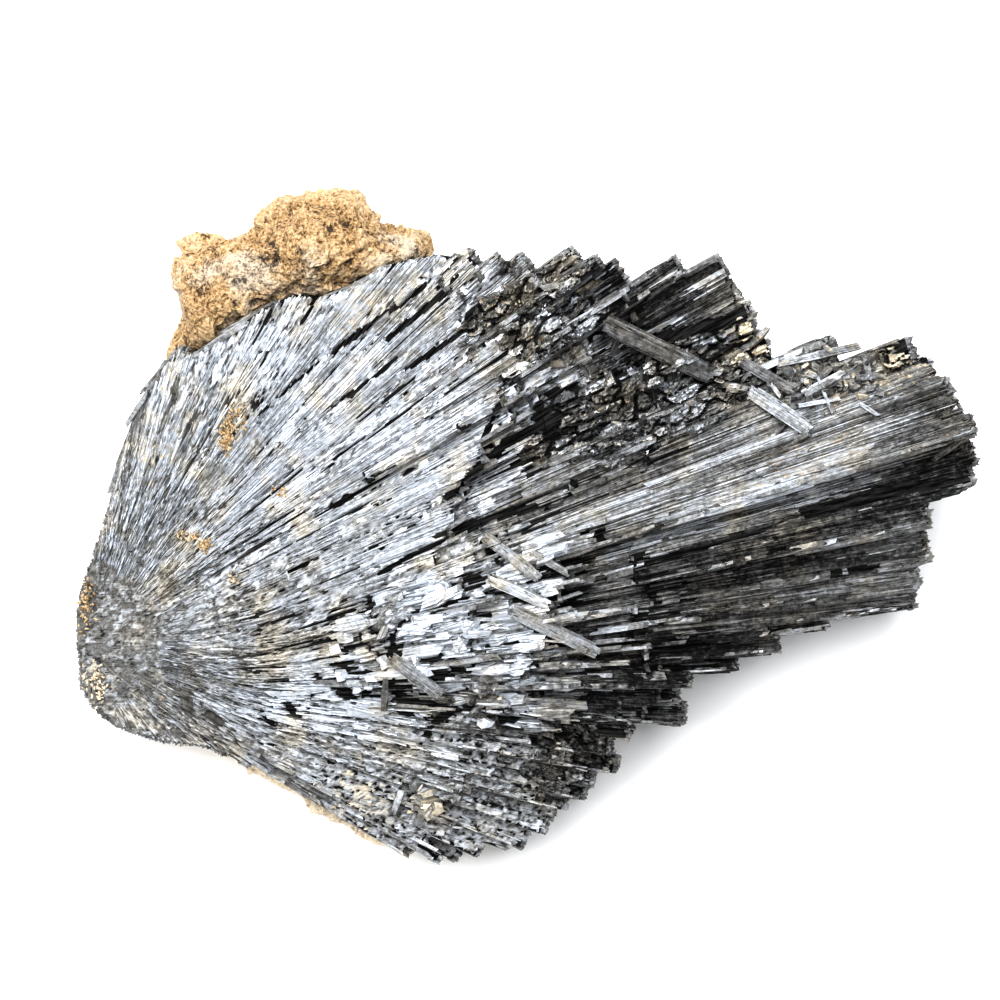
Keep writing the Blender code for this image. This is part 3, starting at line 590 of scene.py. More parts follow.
def surface_laths(region, family, relief, gaps, rng):
    """Laths on the upper side from random starts, each ended where the core steps or a gap is."""
    density, widths, lengths, lifts = region[family]
    low_angle, high_angle = region["angles"]
    low, high = region["radii"]
    area = 0.5 * math.radians(high_angle - low_angle) * (high**2 - low**2)
    count = int(area * density)
    angle = rng.uniform(low_angle, high_angle, count)
    radius = np.sqrt(rng.uniform(low**2, high**2, count))
    length = rng.uniform(*lengths, count)
    width = rng.uniform(*widths, count)
    start = plan_points(angle, radius)
    way = unit(plan_points(angle, radius + 1.0) - start)
    way = turned(way, np.radians(rng.normal(0.0, region["stray"], count)))
    run = np.arange(0.0, lengths[1] + 2 * RUN_STEP, RUN_STEP)
    samples = straight(start, way, run[None])
    heights = relief.at(samples)
    rise = np.diff(heights, axis=1)
    broken = ~np.isfinite(rise) | (np.abs(rise) > BREAK_RISE)
    broken |= in_gap(samples[:, 1:], 0.5 * width[:, None], gaps)
    broken = np.concatenate([broken, np.ones((count, 1), bool)], axis=1)
    clear = run[np.argmax(broken, axis=1)] + 0.5 * RUN_STEP
    reach = np.minimum(length, clear)
    start, way, heights, reach, clear, length, width, angle, radius = chosen(
        np.isfinite(heights[:, 0]) & (reach > SHORTEST),
        start, way, heights, reach, clear, length, width, angle, radius,
    )
    count = len(start)
    picked = np.floor(reach[:, None] * READ_SHARES / RUN_STEP).astype(int)
    z = np.take_along_axis(heights, picked, axis=1)
    most = (STEEPEST * reach)[:, None]
    z = z[:, 1:2] + np.clip(1.5 * (z - z[:, 1:2]), -most, most)
    over = np.where(length > clear, rng.uniform(*OVERHANG, count), 0.0)
    z[:, 2] += np.clip((z[:, 2] - z[:, 1]) / (0.5 * reach), -0.6, 0.3) * over
    reach = np.maximum(reach + over, 0.6)
    middle = start + way * (0.5 * reach)[:, None]
    bundle = smooth_noise(columns(angle, radius + 0.5 * reach) / BUNDLE_SIZE, 1.0, 5)
    depth = width * rng.uniform(*SLAT_DEPTH, count) + 0.2
    lift = rng.uniform(*lifts, count) + 0.4 * (bundle - 0.45)
    z += (lift - 0.5 * depth + 0.3)[:, None]
    z[:, 2] += rng.uniform(*region.get("ends", END_LIFT), count)
    z[:, 0] -= rng.uniform(0.0, 0.35, count)
    spine = lifted(straight(start, way, reach[:, None] * (0.0, 0.5, 1.0)), z)
    tangent = unit(spine[:, 2] - spine[:, 0])
    level = level_across(tangent)
    left, right = relief.at(middle + level[:, :2]), relief.at(middle - level[:, :2])
    tilt = np.arctan(np.clip(np.nan_to_num((left - right) / 2.0, nan=0.0), -1.2, 1.2))
    side, up = rolled(tangent, level, 0.85 * tilt + np.radians(rng.normal(0.0, region["roll"], count)))
    # The region's tone and the tone patches carry painted light and shade as well as the metal's own tone.
    tone = region["tone"] + patches_at(middle, TONE_LIGHT_AND_SHADE_PATCHES) + region.get("bundle", BUNDLE) * (bundle - 0.5)
    tone = limited(tone + rng.normal(0.0, TONE_SPREAD, count))
    # Painted highlight: a share of the laths get their tone raised as a glint.
    glint = region.get("glint", GLINT) * (0.9 - tone)
    tone += np.where(rng.uniform(0.0, 1.0, count) < GLINT_SHARE, glint, 0.0)
    dust = limited(patches_at(middle, DUST_PATCHES) + DUST)
    return lath_arrays(spine, side, up, width, depth, family, rng, tone, dust)


def face_places(triangles, facings, density, rng):
    """Random places on the triangles whose normals' Z is in facings, with those normals."""
    edge_a, edge_b = triangles[:, 1] - triangles[:, 0], triangles[:, 2] - triangles[:, 0]
    normal = np.cross(edge_a, edge_b)
    area = 0.5 * np.linalg.norm(normal, axis=1)
    normal = unit(normal)
    area = np.where((normal[:, 2] >= facings[0]) & (normal[:, 2] < facings[1]), area, 0.0)
    count = int(area.sum() * density)
    pick = rng.choice(len(area), count, p=area / area.sum())
    a, b = rng.uniform(0, 1, count), rng.uniform(0, 1, count)
    flip = a + b > 1
    a, b = np.where(flip, 1 - a, a), np.where(flip, 1 - b, b)
    return triangles[pick, 0] + a[:, None] * edge_a[pick] + b[:, None] * edge_b[pick], normal[pick]


def flow_at(place):
    """Direction in which the laths run through each place, and whether it is far from the root."""
    flow = unit(place - np.array((ROOT[0] - 6.0, ROOT[1], ROOT_DEPTH)))
    return flow, np.hypot(*(place[:, :2] - ROOT).T) > FAR


def wall_laths(triangles, relief, facings, density, widths, lengths, rng):
    """Laths lying along the core's outer faces whose normals' Z is in facings, where those run
    with the fan."""
    place, face = face_places(triangles, facings, density, rng)
    outward = unit(face * (1.0, 1.0, 0.0))
    beyond = relief.at(place + RIM * outward)
    above = relief.at(place)
    rim = np.isnan(beyond) | (np.nan_to_num(above, nan=-1.0) < place[:, 2] - 1.0)
    rim |= place[:, 2] < np.nan_to_num(above, nan=99.0) - 2.0
    flow, far = flow_at(place)
    rim &= far & (dot(flow, face) < 0.5)
    place, face, flow, outward = chosen(rim, place, face, flow, outward)
    count = len(place)
    flow = unit(flow + rng.normal(0.0, 0.03, (count, 3)))
    along = unit(flow - dot(flow, face)[:, None] * face)
    length = rng.uniform(*lengths, count)
    slope, level, narrow = NEAR_SIDE
    width = rng.uniform(*widths, count)
    width *= np.where(place[:, 1] < slope * place[:, 0] + level, narrow, 1.0)
    depth = width * rng.uniform(0.4, 0.7, count) + 0.1
    centre = place + face * (rng.uniform(-0.4, 0.0, count) * depth)[:, None]
    half = along * (0.5 * length)[:, None]
    past_front, past_back = np.isnan(relief.at(centre + half)), np.isnan(relief.at(centre - half))
    ahead = np.where(past_front, 0.0, np.where(past_back, length, 0.5 * length))
    spine = straight(centre, along, ahead[:, None] + length[:, None] * (-1.0, -0.5, 0.0))
    spine[..., 2] = np.maximum(spine[..., 2], (0.6 * width + 0.4)[:, None])
    side, up = wobbled(along, unit(np.cross(face, along)), 6.0, rng)
    # The tone patches add painted light and shade to these laths too.
    tone = limited(0.5 + rng.normal(0.0, 0.12, count) + 0.4 * patches_at(place, TONE_LIGHT_AND_SHADE_PATCHES))
    dust = limited(0.5 * patches_at(place, DUST_PATCHES) + DUST, MOST_SIDE_DUST)
    within = np.isfinite(relief.at(spine - 0.9 * outward[:, None])).all(axis=1)
    spine, side, up, width, depth, tone, dust = chosen(within, spine, side, up, width, depth, tone, dust)
    return lath_arrays(spine, side, up, width, depth, "chunks", rng, tone, dust)


def broken_ends(triangles, relief, rng):
    """Stubs that stand out of the core's steep faces where it cuts the laths off, and short
    grains out of the nose's wall. Reach = a step for each bundle + a step for each stub."""
    facings, density, widths, bundle_size, bundle_step, own_step = ENDS
    place, face = face_places(triangles, facings, density, rng)
    flow, far = flow_at(place)
    offset = place[:, :2] - ROOT
    direction = np.degrees(np.arctan2(offset[:, 1], offset[:, 0]))
    first, last, radius = ENDS_BY_ROCK
    by_rock = (direction > first) & (direction < last) & (np.hypot(*offset.T) > radius)
    outer = np.isnan(relief.at(place + unit(face * (1.0, 1.0, 0.0))))
    kept = ((dot(flow, face) > 0.3) & far | ~far & outer) & ~by_rock
    place, face, flow, far = chosen(kept, place, face, flow, far)
    count = len(place)
    small = np.where(far, 1.0, 0.6)
    wander = rng.normal(0.0, 0.06, (count, 3)) * np.where(far, 1.0, 5.0)[:, None]
    along = unit(np.where(far[:, None], flow, face) + wander)
    owner = nearest_cells(place, bundle_size, 91)[3]
    step = bundle_step * lattice_values(owner, 92) + rng.uniform(0.0, own_step, count)
    reach = (0.05 + step) * np.where(far, 1.0, 0.4)
    width = rng.uniform(*widths, count) * small
    depth = width * rng.uniform(0.45, 0.9, count)
    spine = straight(place, along, columns(-0.8 * small, reach))
    spine[..., 2] = np.maximum(spine[..., 2], width[:, None])
    side, up = wobbled(along, level_across(along), 12.0, rng)
    tone = 0.34 + 0.26 * lattice_values(owner, 93) + rng.normal(0.0, 0.06, count)
    # The tone patches add painted light and shade to these stubs too.
    tone = limited(tone + 0.3 * patches_at(place, TONE_LIGHT_AND_SHADE_PATCHES))
    dust = limited(0.5 * patches_at(place, DUST_PATCHES) + 0.12, MOST_SIDE_DUST)
    return lath_arrays(spine, side, up, width, depth, "fibres", rng, tone, dust)


def settled(place, relief):
    """The places that lie on the core's upper side, with its height there."""
    height = relief.at(place)
    return chosen(np.isfinite(height), place, height)


def rubble(relief, rng):
    """Broken chunks: short stubs of random turn and pitch, settled on the core's upper side."""
    groups = []
    for x, y, spread, count, tone, dust in RUBBLE:
        place = np.array((x, y)) + rng.normal(0.0, 0.55 * spread, (count, 2))
        place, height = settled(place, relief)
        count = len(place)
        yaw = np.radians(rng.normal(*RUBBLE_TURN, count))
        pitch = np.radians(rng.normal(*RUBBLE_PITCH, count))
        along = lifted(columns(np.cos(yaw), np.sin(yaw)) * np.cos(pitch)[:, None], np.sin(pitch))
        width = rng.uniform(*RUBBLE_WIDTH, count)
        depth = width * rng.uniform(0.5, 1.0, count)
        length = width * rng.uniform(1.0, 3.0, count)
        centre = lifted(place, height + rng.uniform(0.0, 1.1, count))
        spine = straight(centre, along, length[:, None] * (-0.5, 0.0, 0.5))
        side, up = wobbled(along, level_across(along), 24.0, rng)
        tones = limited(rng.normal(tone, 0.14, count))
        dusts = limited(rng.normal(dust, 0.14, count), 0.6)
        groups.append(lath_arrays(spine, side, up, width, depth, "chunks", rng, tones, dusts))
    return groups


def stray_laths(relief, rng):
    """Small broken laths lying across the others, each on the highest places under it."""
    table = np.array(STRAY_LATHS)
    ends, width, tone = table[:, :4].reshape(-1, 2, 2), table[:, 4], table[:, 5]
    shares = np.linspace(0.0, 1.0, 9)[:, None]
    under = relief.at(ends[:, None, 0] * (1 - shares) + ends[:, None, 1] * shares)
    thirds = (under[:, :4], under[:, 3:6], under[:, 5:])
    z = np.stack([np.nanmax(third, axis=1) for third in thirds], axis=1)
    z[:, 1] = np.maximum(z[:, 1], 0.5 * (z[:, 0] + z[:, 2]))
    plan = np.stack([ends[:, 0], ends.mean(axis=1), ends[:, 1]], axis=1)
    spine = lifted(plan, z + 1.1)
    tangent = unit(spine[:, 2] - spine[:, 0])
    side, up = wobbled(tangent, level_across(tangent), 8.0, rng)
    return lath_arrays(spine, side, up, width, 0.6 * width, "slats", rng, tone, np.full(len(ends), DUST))


def crumbs(relief, rng, material):
    """Small angular grains of the rock, of random turn, settled between the laths."""
    place = np.concatenate(
        [rng.normal((x, y), (wide, tall), (count, 2)) for x, y, wide, tall, count in CRUMBS]
    )
    place, height = settled(place, relief)
    count = len(place)
    along = unit(rng.normal(0.0, 1.0, (count, 3)) * (1.0, 1.0, 0.4))
    size = rng.uniform(*CRUMB_SIZE, count)
    centre = lifted(place, height + 0.45 + rng.uniform(0.0, 0.3, count))
    spine = straight(centre, along, size[:, None] * (-0.6, 0.6))
    side, up = rolled(along, level_across(along), rng.uniform(-1.0, 1.0, count))
    plain = np.full(count, 0.5)
    raised = rng.uniform(0.2, 0.95, count)
    group = lath_arrays(spine, side, up, size, 0.8 * size, "fibres", rng, raised, plain)
    return new_piece(
        "ochre_crumbs", group["points"], [group["quads"][:, ::-1], group["caps"]], material,
        None, {"raised": group["tone"]},
    )


def sheet_faces(cells):
    """Faces of a sheet between an upper and a lower grid, closed by walls along its ragged rim."""
    shape = (cells.shape[0] + 1, cells.shape[1] + 1)
    below = shape[0] * shape[1]
    index = np.arange(below).reshape(shape)
    corners = (index[:-1, :-1], index[1:, :-1], index[1:, 1:], index[:-1, 1:])
    padded = np.pad(cells, 1)
    neighbours = (padded[1:-1, :-2], padded[2:, 1:-1], padded[1:-1, 2:], padded[:-2, 1:-1])
    upper = columns(*corners)[cells]
    groups = [upper, upper[:, ::-1] + below]
    for turn, neighbour in enumerate(neighbours):
        rim = cells & ~neighbour
        first, last = corners[turn][rim], corners[(turn + 1) % 4][rim]
        groups.append(columns(last, first, first + below, last + below))
    return np.concatenate(groups)


def cell_sheet(name, plan, flat, fade, inside, cells, relief, material):
    """A sheet over the core: height = core + a step and a tilt for each cell of a stretched
    random lattice + smaller cells' steps, less a crack where two cells are equally near."""
    block, rise, (low, high), dusty, dark = cells
    wobble = columns(smooth_noise(flat, 1.3, 70), smooth_noise(flat, 1.3, 71)) - 0.5
    large = (flat + 0.9 * wobble * min(1.0, block[1])) / np.array(block)
    nearest, following, centre, owner = nearest_cells(large, 1.0, 71)
    tilt = lattice_vectors(owner, (72, 73)) - 0.5
    level = lattice_values(owner, 75) + 0.7 * dot(large - centre, tilt)
    crack = limited(1.3 - (following - nearest) / CRACK)
    fine = (flat + 0.4 * wobble) / (0.37 * np.array(block))
    small_near, small_next, _, small_owner = nearest_cells(fine, 1.0, 81)
    level += 0.3 * lattice_values(small_owner, 82)
    fine_crack = limited(1.0 - (small_next - small_near) / FINE_CRACK)
    lift = rise * (level * fade - 0.9 * crack - 0.2 * fine_crack) - 0.9 * (1.0 - fade)
    height = relief.at(plan) + lift.reshape(plan.shape[:2])
    inside &= np.isfinite(height)
    kept = inside[:-1, :-1] & inside[1:, :-1] & inside[1:, 1:] & inside[:-1, 1:]
    faces = sheet_faces(kept)
    upper = lifted(plan, height).reshape(-1, 3)
    points = np.concatenate([upper, upper - (0.0, 0.0, SHEET_DEPTH)])
    tone = low + (high - low) * lattice_values(owner, 77) + 0.25 * (lattice_values(small_owner, 83) - 0.5)
    tone += 0.4 * patches_at(plan.reshape(-1, 2), TONE_LIGHT_AND_SHADE_PATCHES)
    # Painted shade: the tone darkens in the cracks between cells and where the sheet sinks in the gaps and at
    # its borders.
    tone *= (1.0 - dark * crack) * (1.0 - 0.6 * dark * fine_crack) * limited(0.1 + 2.0 * fade)
    tone = limited(tone)
    dust = np.where(lattice_values(owner, 78) > 0.55, dusty, 0.3 * dusty)
    dust = (dust + patches_at(plan.reshape(-1, 2), DUST_PATCHES)) * (1.0 - crack)
    used, index = np.unique(faces, return_inverse=True)
    twice = {title: np.tile(data, 2)[used] for title, data in (("tone", tone), ("dust", dust))}
    uv = np.concatenate([flat, flat])[used]
    return new_piece(name, points[used], [index.reshape(-1, 4)], material, uv, twice)


def block_field(field, relief, material):
    """A sheet of cells inside a turned oval with a ragged edge, sunk in the dark gaps."""
    name, middle, way, halves, step, cells = field
    run = np.arange(-halves[0], halves[0] + step, step)
    across = np.arange(-halves[1], halves[1] + step, step)
    local = columns(*np.meshgrid(run, across, indexing="ij"))
    cos, sin = math.cos(math.radians(way)), math.sin(math.radians(way))
    plan = np.array(middle) + local @ np.array(((cos, sin), (-sin, cos)))
    flat = local.reshape(-1, 2)
    edge = np.hypot(*(flat / np.array(halves)).T) + 0.35 * (smooth_noise(flat, 2.6, 76) - 0.5)
    fade = limited((1.0 - edge) * 4.0)
    fade *= np.where(in_gap(plan.reshape(-1, 2), 0.0, GAPS), 0.0, 1.0)
    inside = edge.reshape(local.shape[:2]) < 1.0
    return cell_sheet(name, plan, flat, fade, inside, cells, relief, material)


def fan_field(field, gaps, relief, material):
    """A sheet of cells along the rays from the root, sunk in the dark gaps and at its borders."""
    name, angles, radii, steps, cells = field
    radius = np.arange(radii[0], radii[1] + steps[1], steps[1])
    angle = np.arange(angles[0], angles[1] + steps[0], steps[0])
    radius, angle = np.meshgrid(radius, angle, indexing="ij")
    plan = plan_points(angle, radius)
    flat = columns(radius, angle * DEGREE_WIDTH).reshape(-1, 2)
    border = np.minimum(radius - radii[0], radii[1] - radius) + 4.0 * (smooth_noise(plan, 3.0, 79) - 0.5)
    fade = limited(0.5 * border) * np.where(in_gap(plan, 0.0, gaps), 0.0, 1.0)
    return cell_sheet(name, plan, flat, fade.reshape(-1), np.isfinite(radius), cells, relief, material)


def loose_lath(number, material, rng):
    """A broken lath in its node's place: a ridged strip along the node's long axis, with finer
    strips on and beside it that start and end at places of their own."""
    name = f"loose_lath_{number}"
    corners = node_triangles(name).reshape(-1, 3)
    centre = 0.5 * (corners.min(axis=0) + corners.max(axis=0))
    along = np.linalg.svd(corners - centre, full_matrices=False)[2][0]
    along *= np.sign(along[0])
    level = level_across(along)
    upward = np.cross(along, level)
    spans = [(corners - centre) @ axis for axis in (along, level, upward)]
    (low, high), (left, right), (bottom, top) = [(span.min(), span.max()) for span in spans]
    long, wide, tall = high - low, right - left, top - bottom
    count = LOOSE_STRIPS
    width = np.append(LOOSE_MAIN[0] * wide, rng.uniform(*LOOSE_WIDTHS, count) * wide)
    depth = np.append(LOOSE_MAIN[1] * tall, rng.uniform(*LOOSE_DEPTHS, count) * tall)
    aside = np.append(0.0, np.linspace(-0.4, 0.4, count) * wide)
    above = np.append(0.0, rng.uniform(-0.15, 0.28, count) * tall)
    start = low + np.append(0.05, rng.uniform(0.0, 0.16, count) ** 1.3) * long
    end = high - np.append(0.08, rng.uniform(0.0, 0.22, count) ** 1.3) * long
    travel = start[:, None] + (end - start)[:, None] * np.linspace(0.0, 1.0, 7)
    own_line = aside[:, None] + 9.0 * number + 0.0 * travel
    bow = 0.06 * wide * (smooth_noise(columns(travel / 3.0, own_line), 1.0, 8) - 0.5)
    spine = (
        centre
        + travel[..., None] * along
        + (aside[:, None] + bow)[..., None] * level
        + (above[:, None] + 2.0 * bow)[..., None] * upward
    )
    tangent, across = (np.repeat(axis[None], count + 1, axis=0) for axis in (along, level))
    side, up = wobbled(tangent, across, 5.0, rng)
    tone = limited(LOOSE_TONES[number - 1] + rng.normal(0.0, 0.1, count + 1))
    dust = np.full(count + 1, LOOSE_DUST[number - 1])
    group = lath_arrays(spine, side, up, width, depth, "slats", rng, tone, dust)
    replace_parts(lath_piece(name + "_ribbed", [group], material), name)


def smoothed(points, quads, rounds):
    """Each point moved to the mean of its neighbours along the faces' edges, several times."""
    edges = np.concatenate([quads[:, [corner, (corner + 1) % 4]] for corner in range(4)])
    share = np.bincount(edges[:, 0], minlength=len(points))[:, None]
    for _ in range(rounds):
        sums = (np.bincount(edges[:, 0], points[edges[:, 1], axis], len(points)) for axis in range(3))
        points = columns(*sums) / share
    return points


def grainy_rock(material):
    """The rock's own solid, remeshed finely, smoothed, and pushed in and out along its normals.

    Push = facets (a tilted plane for each cell of a random lattice, at two sizes) + crags
    (ridged noise) + grains (nearness to scattered points) - pits, faded out at the flat base."""
    triangles = node_triangles("matrix_rock")
    flat, index = np.unique(np.round(triangles.reshape(-1, 3), 3), axis=0, return_inverse=True)
    mesh = bpy.data.meshes.new("rock_coarse")
    mesh.from_pydata((flat * MM).tolist(), [], index.reshape(-1, 3).tolist())
    coarse = placed("rock_coarse", mesh)
    remesh = coarse.modifiers.new("fine", "REMESH")
    remesh.mode = "VOXEL"
    remesh.voxel_size = ROCK_GRID * MM
    fine = coarse.evaluated_get(bpy.context.evaluated_depsgraph_get()).to_mesh()
    points = whole_array(fine.vertices, "co", 3) / MM
    quads = whole_array(fine.polygons, "vertices", 4, int)
    bpy.data.objects.remove(coarse)
    soft = smoothed(points, quads, ROCK_ROUNDS)
    soft[:, 2] = np.where(points[:, 2] < 0.5, points[:, 2], soft[:, 2])
    facing = np.cross(soft[quads[:, 2]] - soft[quads[:, 0]], soft[quads[:, 3]] - soft[quads[:, 1]])
    normals = np.zeros_like(soft)
    for corner in range(4):
        np.add.at(normals, quads[:, corner], facing)
    normals = unit(normals)
    facets = np.zeros(len(soft))
    for size, share, seed in ROCK_FACETS:
        _, _, centre, owner = nearest_cells(soft, size, seed)
        tilt = lattice_vectors(owner, range(seed + 1, seed + 4)) - 0.5
        facets += share * dot(soft - centre, tilt)
    crags = 1.0 - 2.0 * np.abs(smooth_noise(soft, 5.0, 1) - 0.5)
    grains = 0.5 - nearest_cells(soft, 0.9, 4)[0]
    rough = smooth_noise(soft, 0.6, 5) - 0.5
    pits = limited(smooth_noise(soft, 1.3, 6) - 0.78) * 4.0
    push = 0.2 + facets + 0.3 * (crags - 0.5) + 0.4 * grains + 0.5 * rough - 0.6 * pits
    push *= limited(soft[:, 2] / 1.5)
    # Painted light and shade: the colour level rises where the surface is pushed out and falls in the pits.
    raised = limited(0.5 + 0.15 * facets + 0.3 * grains + 0.45 * rough - 0.9 * pits)
    moved = soft + normals * push[:, None]
    moved[:, 2] = np.maximum(moved[:, 2], 0.0)
    piece = new_piece("matrix_rock_grainy", moved, [quads], material, None, {"raised": raised})
    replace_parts(piece, "matrix_rock")


class Finish:
    """A material whose nodes are added and joined by short calls, each named for what it adds."""

    def __init__(self, name, metallic):
        self.material = bpy.data.materials.new(name)
        self.material.use_nodes = True
        self.tree = self.material.node_tree
        self.shader = self.tree.nodes["Principled BSDF"]
        self.feed(self.shader, {"Metallic": metallic})

    def feed(self, node, inputs):
        """A node's inputs, each from another node's output or from a constant."""
        for title, value in inputs.items():
            if isinstance(value, bpy.types.NodeSocket):
                self.tree.links.new(value, node.inputs[title])
            else:
                node.inputs[title].default_value = value

    def node(self, kind, output, inputs, **settings):
        """One output of a new node."""
        node = self.tree.nodes.new("ShaderNode" + kind)
        for title, value in settings.items():
            setattr(node, title, value)
        self.feed(node, inputs)
        return node.outputs[output]

    def math(self, operation, *values):
        return self.node("Math", "Value", dict(enumerate(values)), operation=operation)

    def noise(self, vector, scale, detail, roughness=0.6):
        inputs = {"Vector": vector, "Scale": scale, "Detail": detail, "Roughness": roughness}
        return self.node("TexNoise", "Fac", inputs)

    def stretched(self, vector, scale):
        return self.node("Mapping", "Vector", {"Vector": vector, "Scale": scale})

    def axis(self, vector, name):
        return self.node("SeparateXYZ", name, {"Vector": vector})

    def rays(self, place):
        """Place round the fan's root as an angle and a radius, so that noise runs in rays."""
        x = self.math("SUBTRACT", self.axis(place, "X"), float(ROOT[0]) * MM)
        y = self.math("SUBTRACT", self.axis(place, "Y"), (float(ROOT[1]) + SLIDES[4]) * MM)
        radius = self.math("SQRT", self.math("MULTIPLY_ADD", x, x, self.math("MULTIPLY", y, y)), 0.0)
        turn = self.math("MULTIPLY", self.math("ARCTAN2", y, x), RAY_TURN)
        run = self.math("MULTIPLY", radius, RAY_RUN)
        return self.node("CombineXYZ", "Vector", {"X": turn, "Y": run})

    def span(self, factor, start, end):
        """0 at the start value, 1 at the end value and held beyond both."""
        return self.node("MapRange", "Result", {"Value": factor, "From Min": start, "From Max": end})

    def place(self, kind="Object"):
        return self.node("TexCoord", kind, {})

    def value(self, name):
        return self.node("Attribute", "Fac", {}, attribute_name=name)

    def ramp(self, factor, *stops):
        """Colours for a factor, each stop as its share and its colour."""
        color = self.node("ValToRGB", "Color", {"Fac": factor})
        marks = color.node.color_ramp.elements
        while len(marks) < len(stops):
            marks.new(0.5)
        for mark, (place, shade) in zip(marks, stops):
            mark.position = place
            mark.color = (*shade, 1.0)
        return color

    def mix(self, factor, first, second):
        return self.node("Mix", "Result", {"Factor": factor, "A": first, "B": second}, data_type="RGBA")

    def finished(self, color, grain, low, high, distance=0.0, strength=0.0):
        """The material with this colour, and roughness from low to high and bumps by one grain."""
        rough = self.node("MapRange", "Result", {"Value": grain, "To Min": low, "To Max": high})
        self.feed(self.shader, {"Base Color": color, "Roughness": rough})
        if strength:
            bumps = {"Strength": strength, "Distance": distance, "Height": grain}
            self.feed(self.shader, {"Normal": self.node("Bump", "Normal", bumps)})
        return self.material


DARK, GREY, BRIGHT = (0.003, 0.003, 0.0035), (0.15, 0.148, 0.144), (0.49, 0.515, 0.553)
TARNISH, STRAW = (0.17, 0.152, 0.122), (0.56, 0.51, 0.42)
CREAM, OCHRE = (0.50, 0.45, 0.36), (0.55, 0.30, 0.09)


def striated_metal(name, metallic, low, high):
    """Grey metal with fine streaks and short slots of painted shade along each lath's own map, and cream
    dust where a lath holds it. Low and high are its least and most roughness."""
    finish = Finish(name, metallic)
    along = finish.node("UVMap", "UV", {}, uv_map="along")
    streak = finish.noise(finish.stretched(along, (0.3, 3.4, 1.0)), 1.0, 4.0, 0.7)
    crevice_shade = finish.noise(finish.stretched(along, (0.5, 4.2, 1.0)), 1.0, 1.0)
    speck = finish.noise(finish.place(), 1500.0, 4.0, 0.75)
    shade = finish.math("MULTIPLY_ADD", streak, 0.8, finish.value("tone"))
    shade = finish.math("MULTIPLY_ADD", speck, 1.2, shade)
    shade = finish.math("MULTIPLY_ADD", finish.noise(finish.place(), 420.0, 3.0, 0.7), 0.6, shade)
    shade = finish.math("SUBTRACT", shade, 1.3)
    # Painted shade: short slots along each lath fall to the dark end of the ramp, as shade in crevices.
    shade = finish.math("MULTIPLY", shade, finish.span(crevice_shade, 0.27, 0.38))
    clean = finish.ramp(shade, (0.0, DARK), (0.4, GREY), (1.0, BRIGHT))
    dull = finish.ramp(shade, (0.0, DARK), (0.4, TARNISH), (1.0, STRAW))
    stain = finish.span(finish.noise(finish.place(), 150.0, 4.0, 0.65), 0.48, 0.66)
    metal = finish.mix(finish.math("MULTIPLY", stain, 0.75), clean, dull)
    earth = finish.ramp(speck, (0.3, OCHRE), (0.38, CREAM))
    cover = finish.math("MULTIPLY_ADD", finish.value("dust"), 1.1, 0.04)
    settled = finish.span(finish.math("SUBTRACT", cover, speck), -0.08, 0.12)
    return finish.finished(finish.mix(settled, metal, earth), streak, low, high, 0.00014, 0.7)


def core_metal(name):
    """The core between the laths: near black where it faces up, as painted shade in the gaps, streaked grey
    on its sides.
    """
    finish = Finish(name, 0.0)
    finish.feed(finish.shader, {"Specular IOR Level": 0.04})
    place = finish.place()
    mottle = finish.noise(place, 900.0, 4.0)
    fibre = finish.noise(finish.rays(place), 1.0, 4.0, 0.7)
    # Painted shade: the up-facing core is near black, streaked along the rays, so the gaps between the laths
    # read as shadow.
    between = finish.ramp(fibre, (0.45, (0.0, 0.0, 0.0)), (0.75, (0.045, 0.044, 0.042)))
    sides = finish.ramp(mottle, (0.35, (0.006, 0.006, 0.006)), (0.7, (0.07, 0.068, 0.065)))
    knob = finish.ramp(mottle, (0.3, (0.02, 0.02, 0.019)), (0.7, (0.22, 0.21, 0.195)))
    facing = finish.axis(finish.place("Normal"), "Z")
    color = finish.mix(finish.span(facing, 0.6, 0.3), between, sides)
    color = finish.mix(finish.span(finish.axis(place, "X"), -0.034, -0.050), color, knob)
    return finish.finished(color, mottle, 0.45, 0.75, 0.0002, 0.8)


def ochre_rock(name):
    """Grainy tan rock with painted light and shade: darker brown in the pits, paler on the raised grains, and
    paler along the near rim.
    """
    finish = Finish(name, 0.0)
    place = finish.place()
    cloud = finish.noise(place, 160.0, 3.0)
    grain = finish.noise(place, 2400.0, 3.0, 0.7)
    level = finish.math("MULTIPLY_ADD", grain, 2.6, finish.value("raised"))
    level = finish.math("MULTIPLY_ADD", cloud, 0.5, level)
    level = finish.math("SUBTRACT", level, 1.48)
    tan = finish.ramp(
        level, (0.14, (0.04, 0.025, 0.014)), (0.3, (0.22, 0.135, 0.06)), (0.5, (0.35, 0.23, 0.11)),
        (0.9, (0.5, 0.39, 0.25)),
    )
    rim_painted_light = finish.ramp(level, (0.1, (0.20, 0.15, 0.10)), (0.6, (0.72, 0.62, 0.48)))
    ashen = finish.ramp(level, (0.1, (0.10, 0.09, 0.08)), (0.6, (0.50, 0.44, 0.36)))
    smear = finish.math("MULTIPLY", finish.span(finish.noise(place, 110.0, 4.0), 0.52, 0.64), 0.7)
    # Painted light: the near rim, which lies in shade, is coloured paler.
    rim = finish.span(finish.axis(place, "Y"), -0.016, -0.024)
    color = finish.mix(rim, finish.mix(smear, tan, ashen), rim_painted_light)
    return finish.finished(color, grain, 0.8, 0.95, 0.00045, 1.0)


def paper(name):
    """Near-white floor with a faint even mottle."""
    finish = Finish(name, 0.0)
    fleck = finish.noise(finish.place(), 40.0, 2.0)
    color = finish.ramp(fleck, (0.3, (0.92, 0.92, 0.92)), (0.7, (0.95, 0.95, 0.95)))
    return finish.finished(color, fleck, 0.9, 0.95)


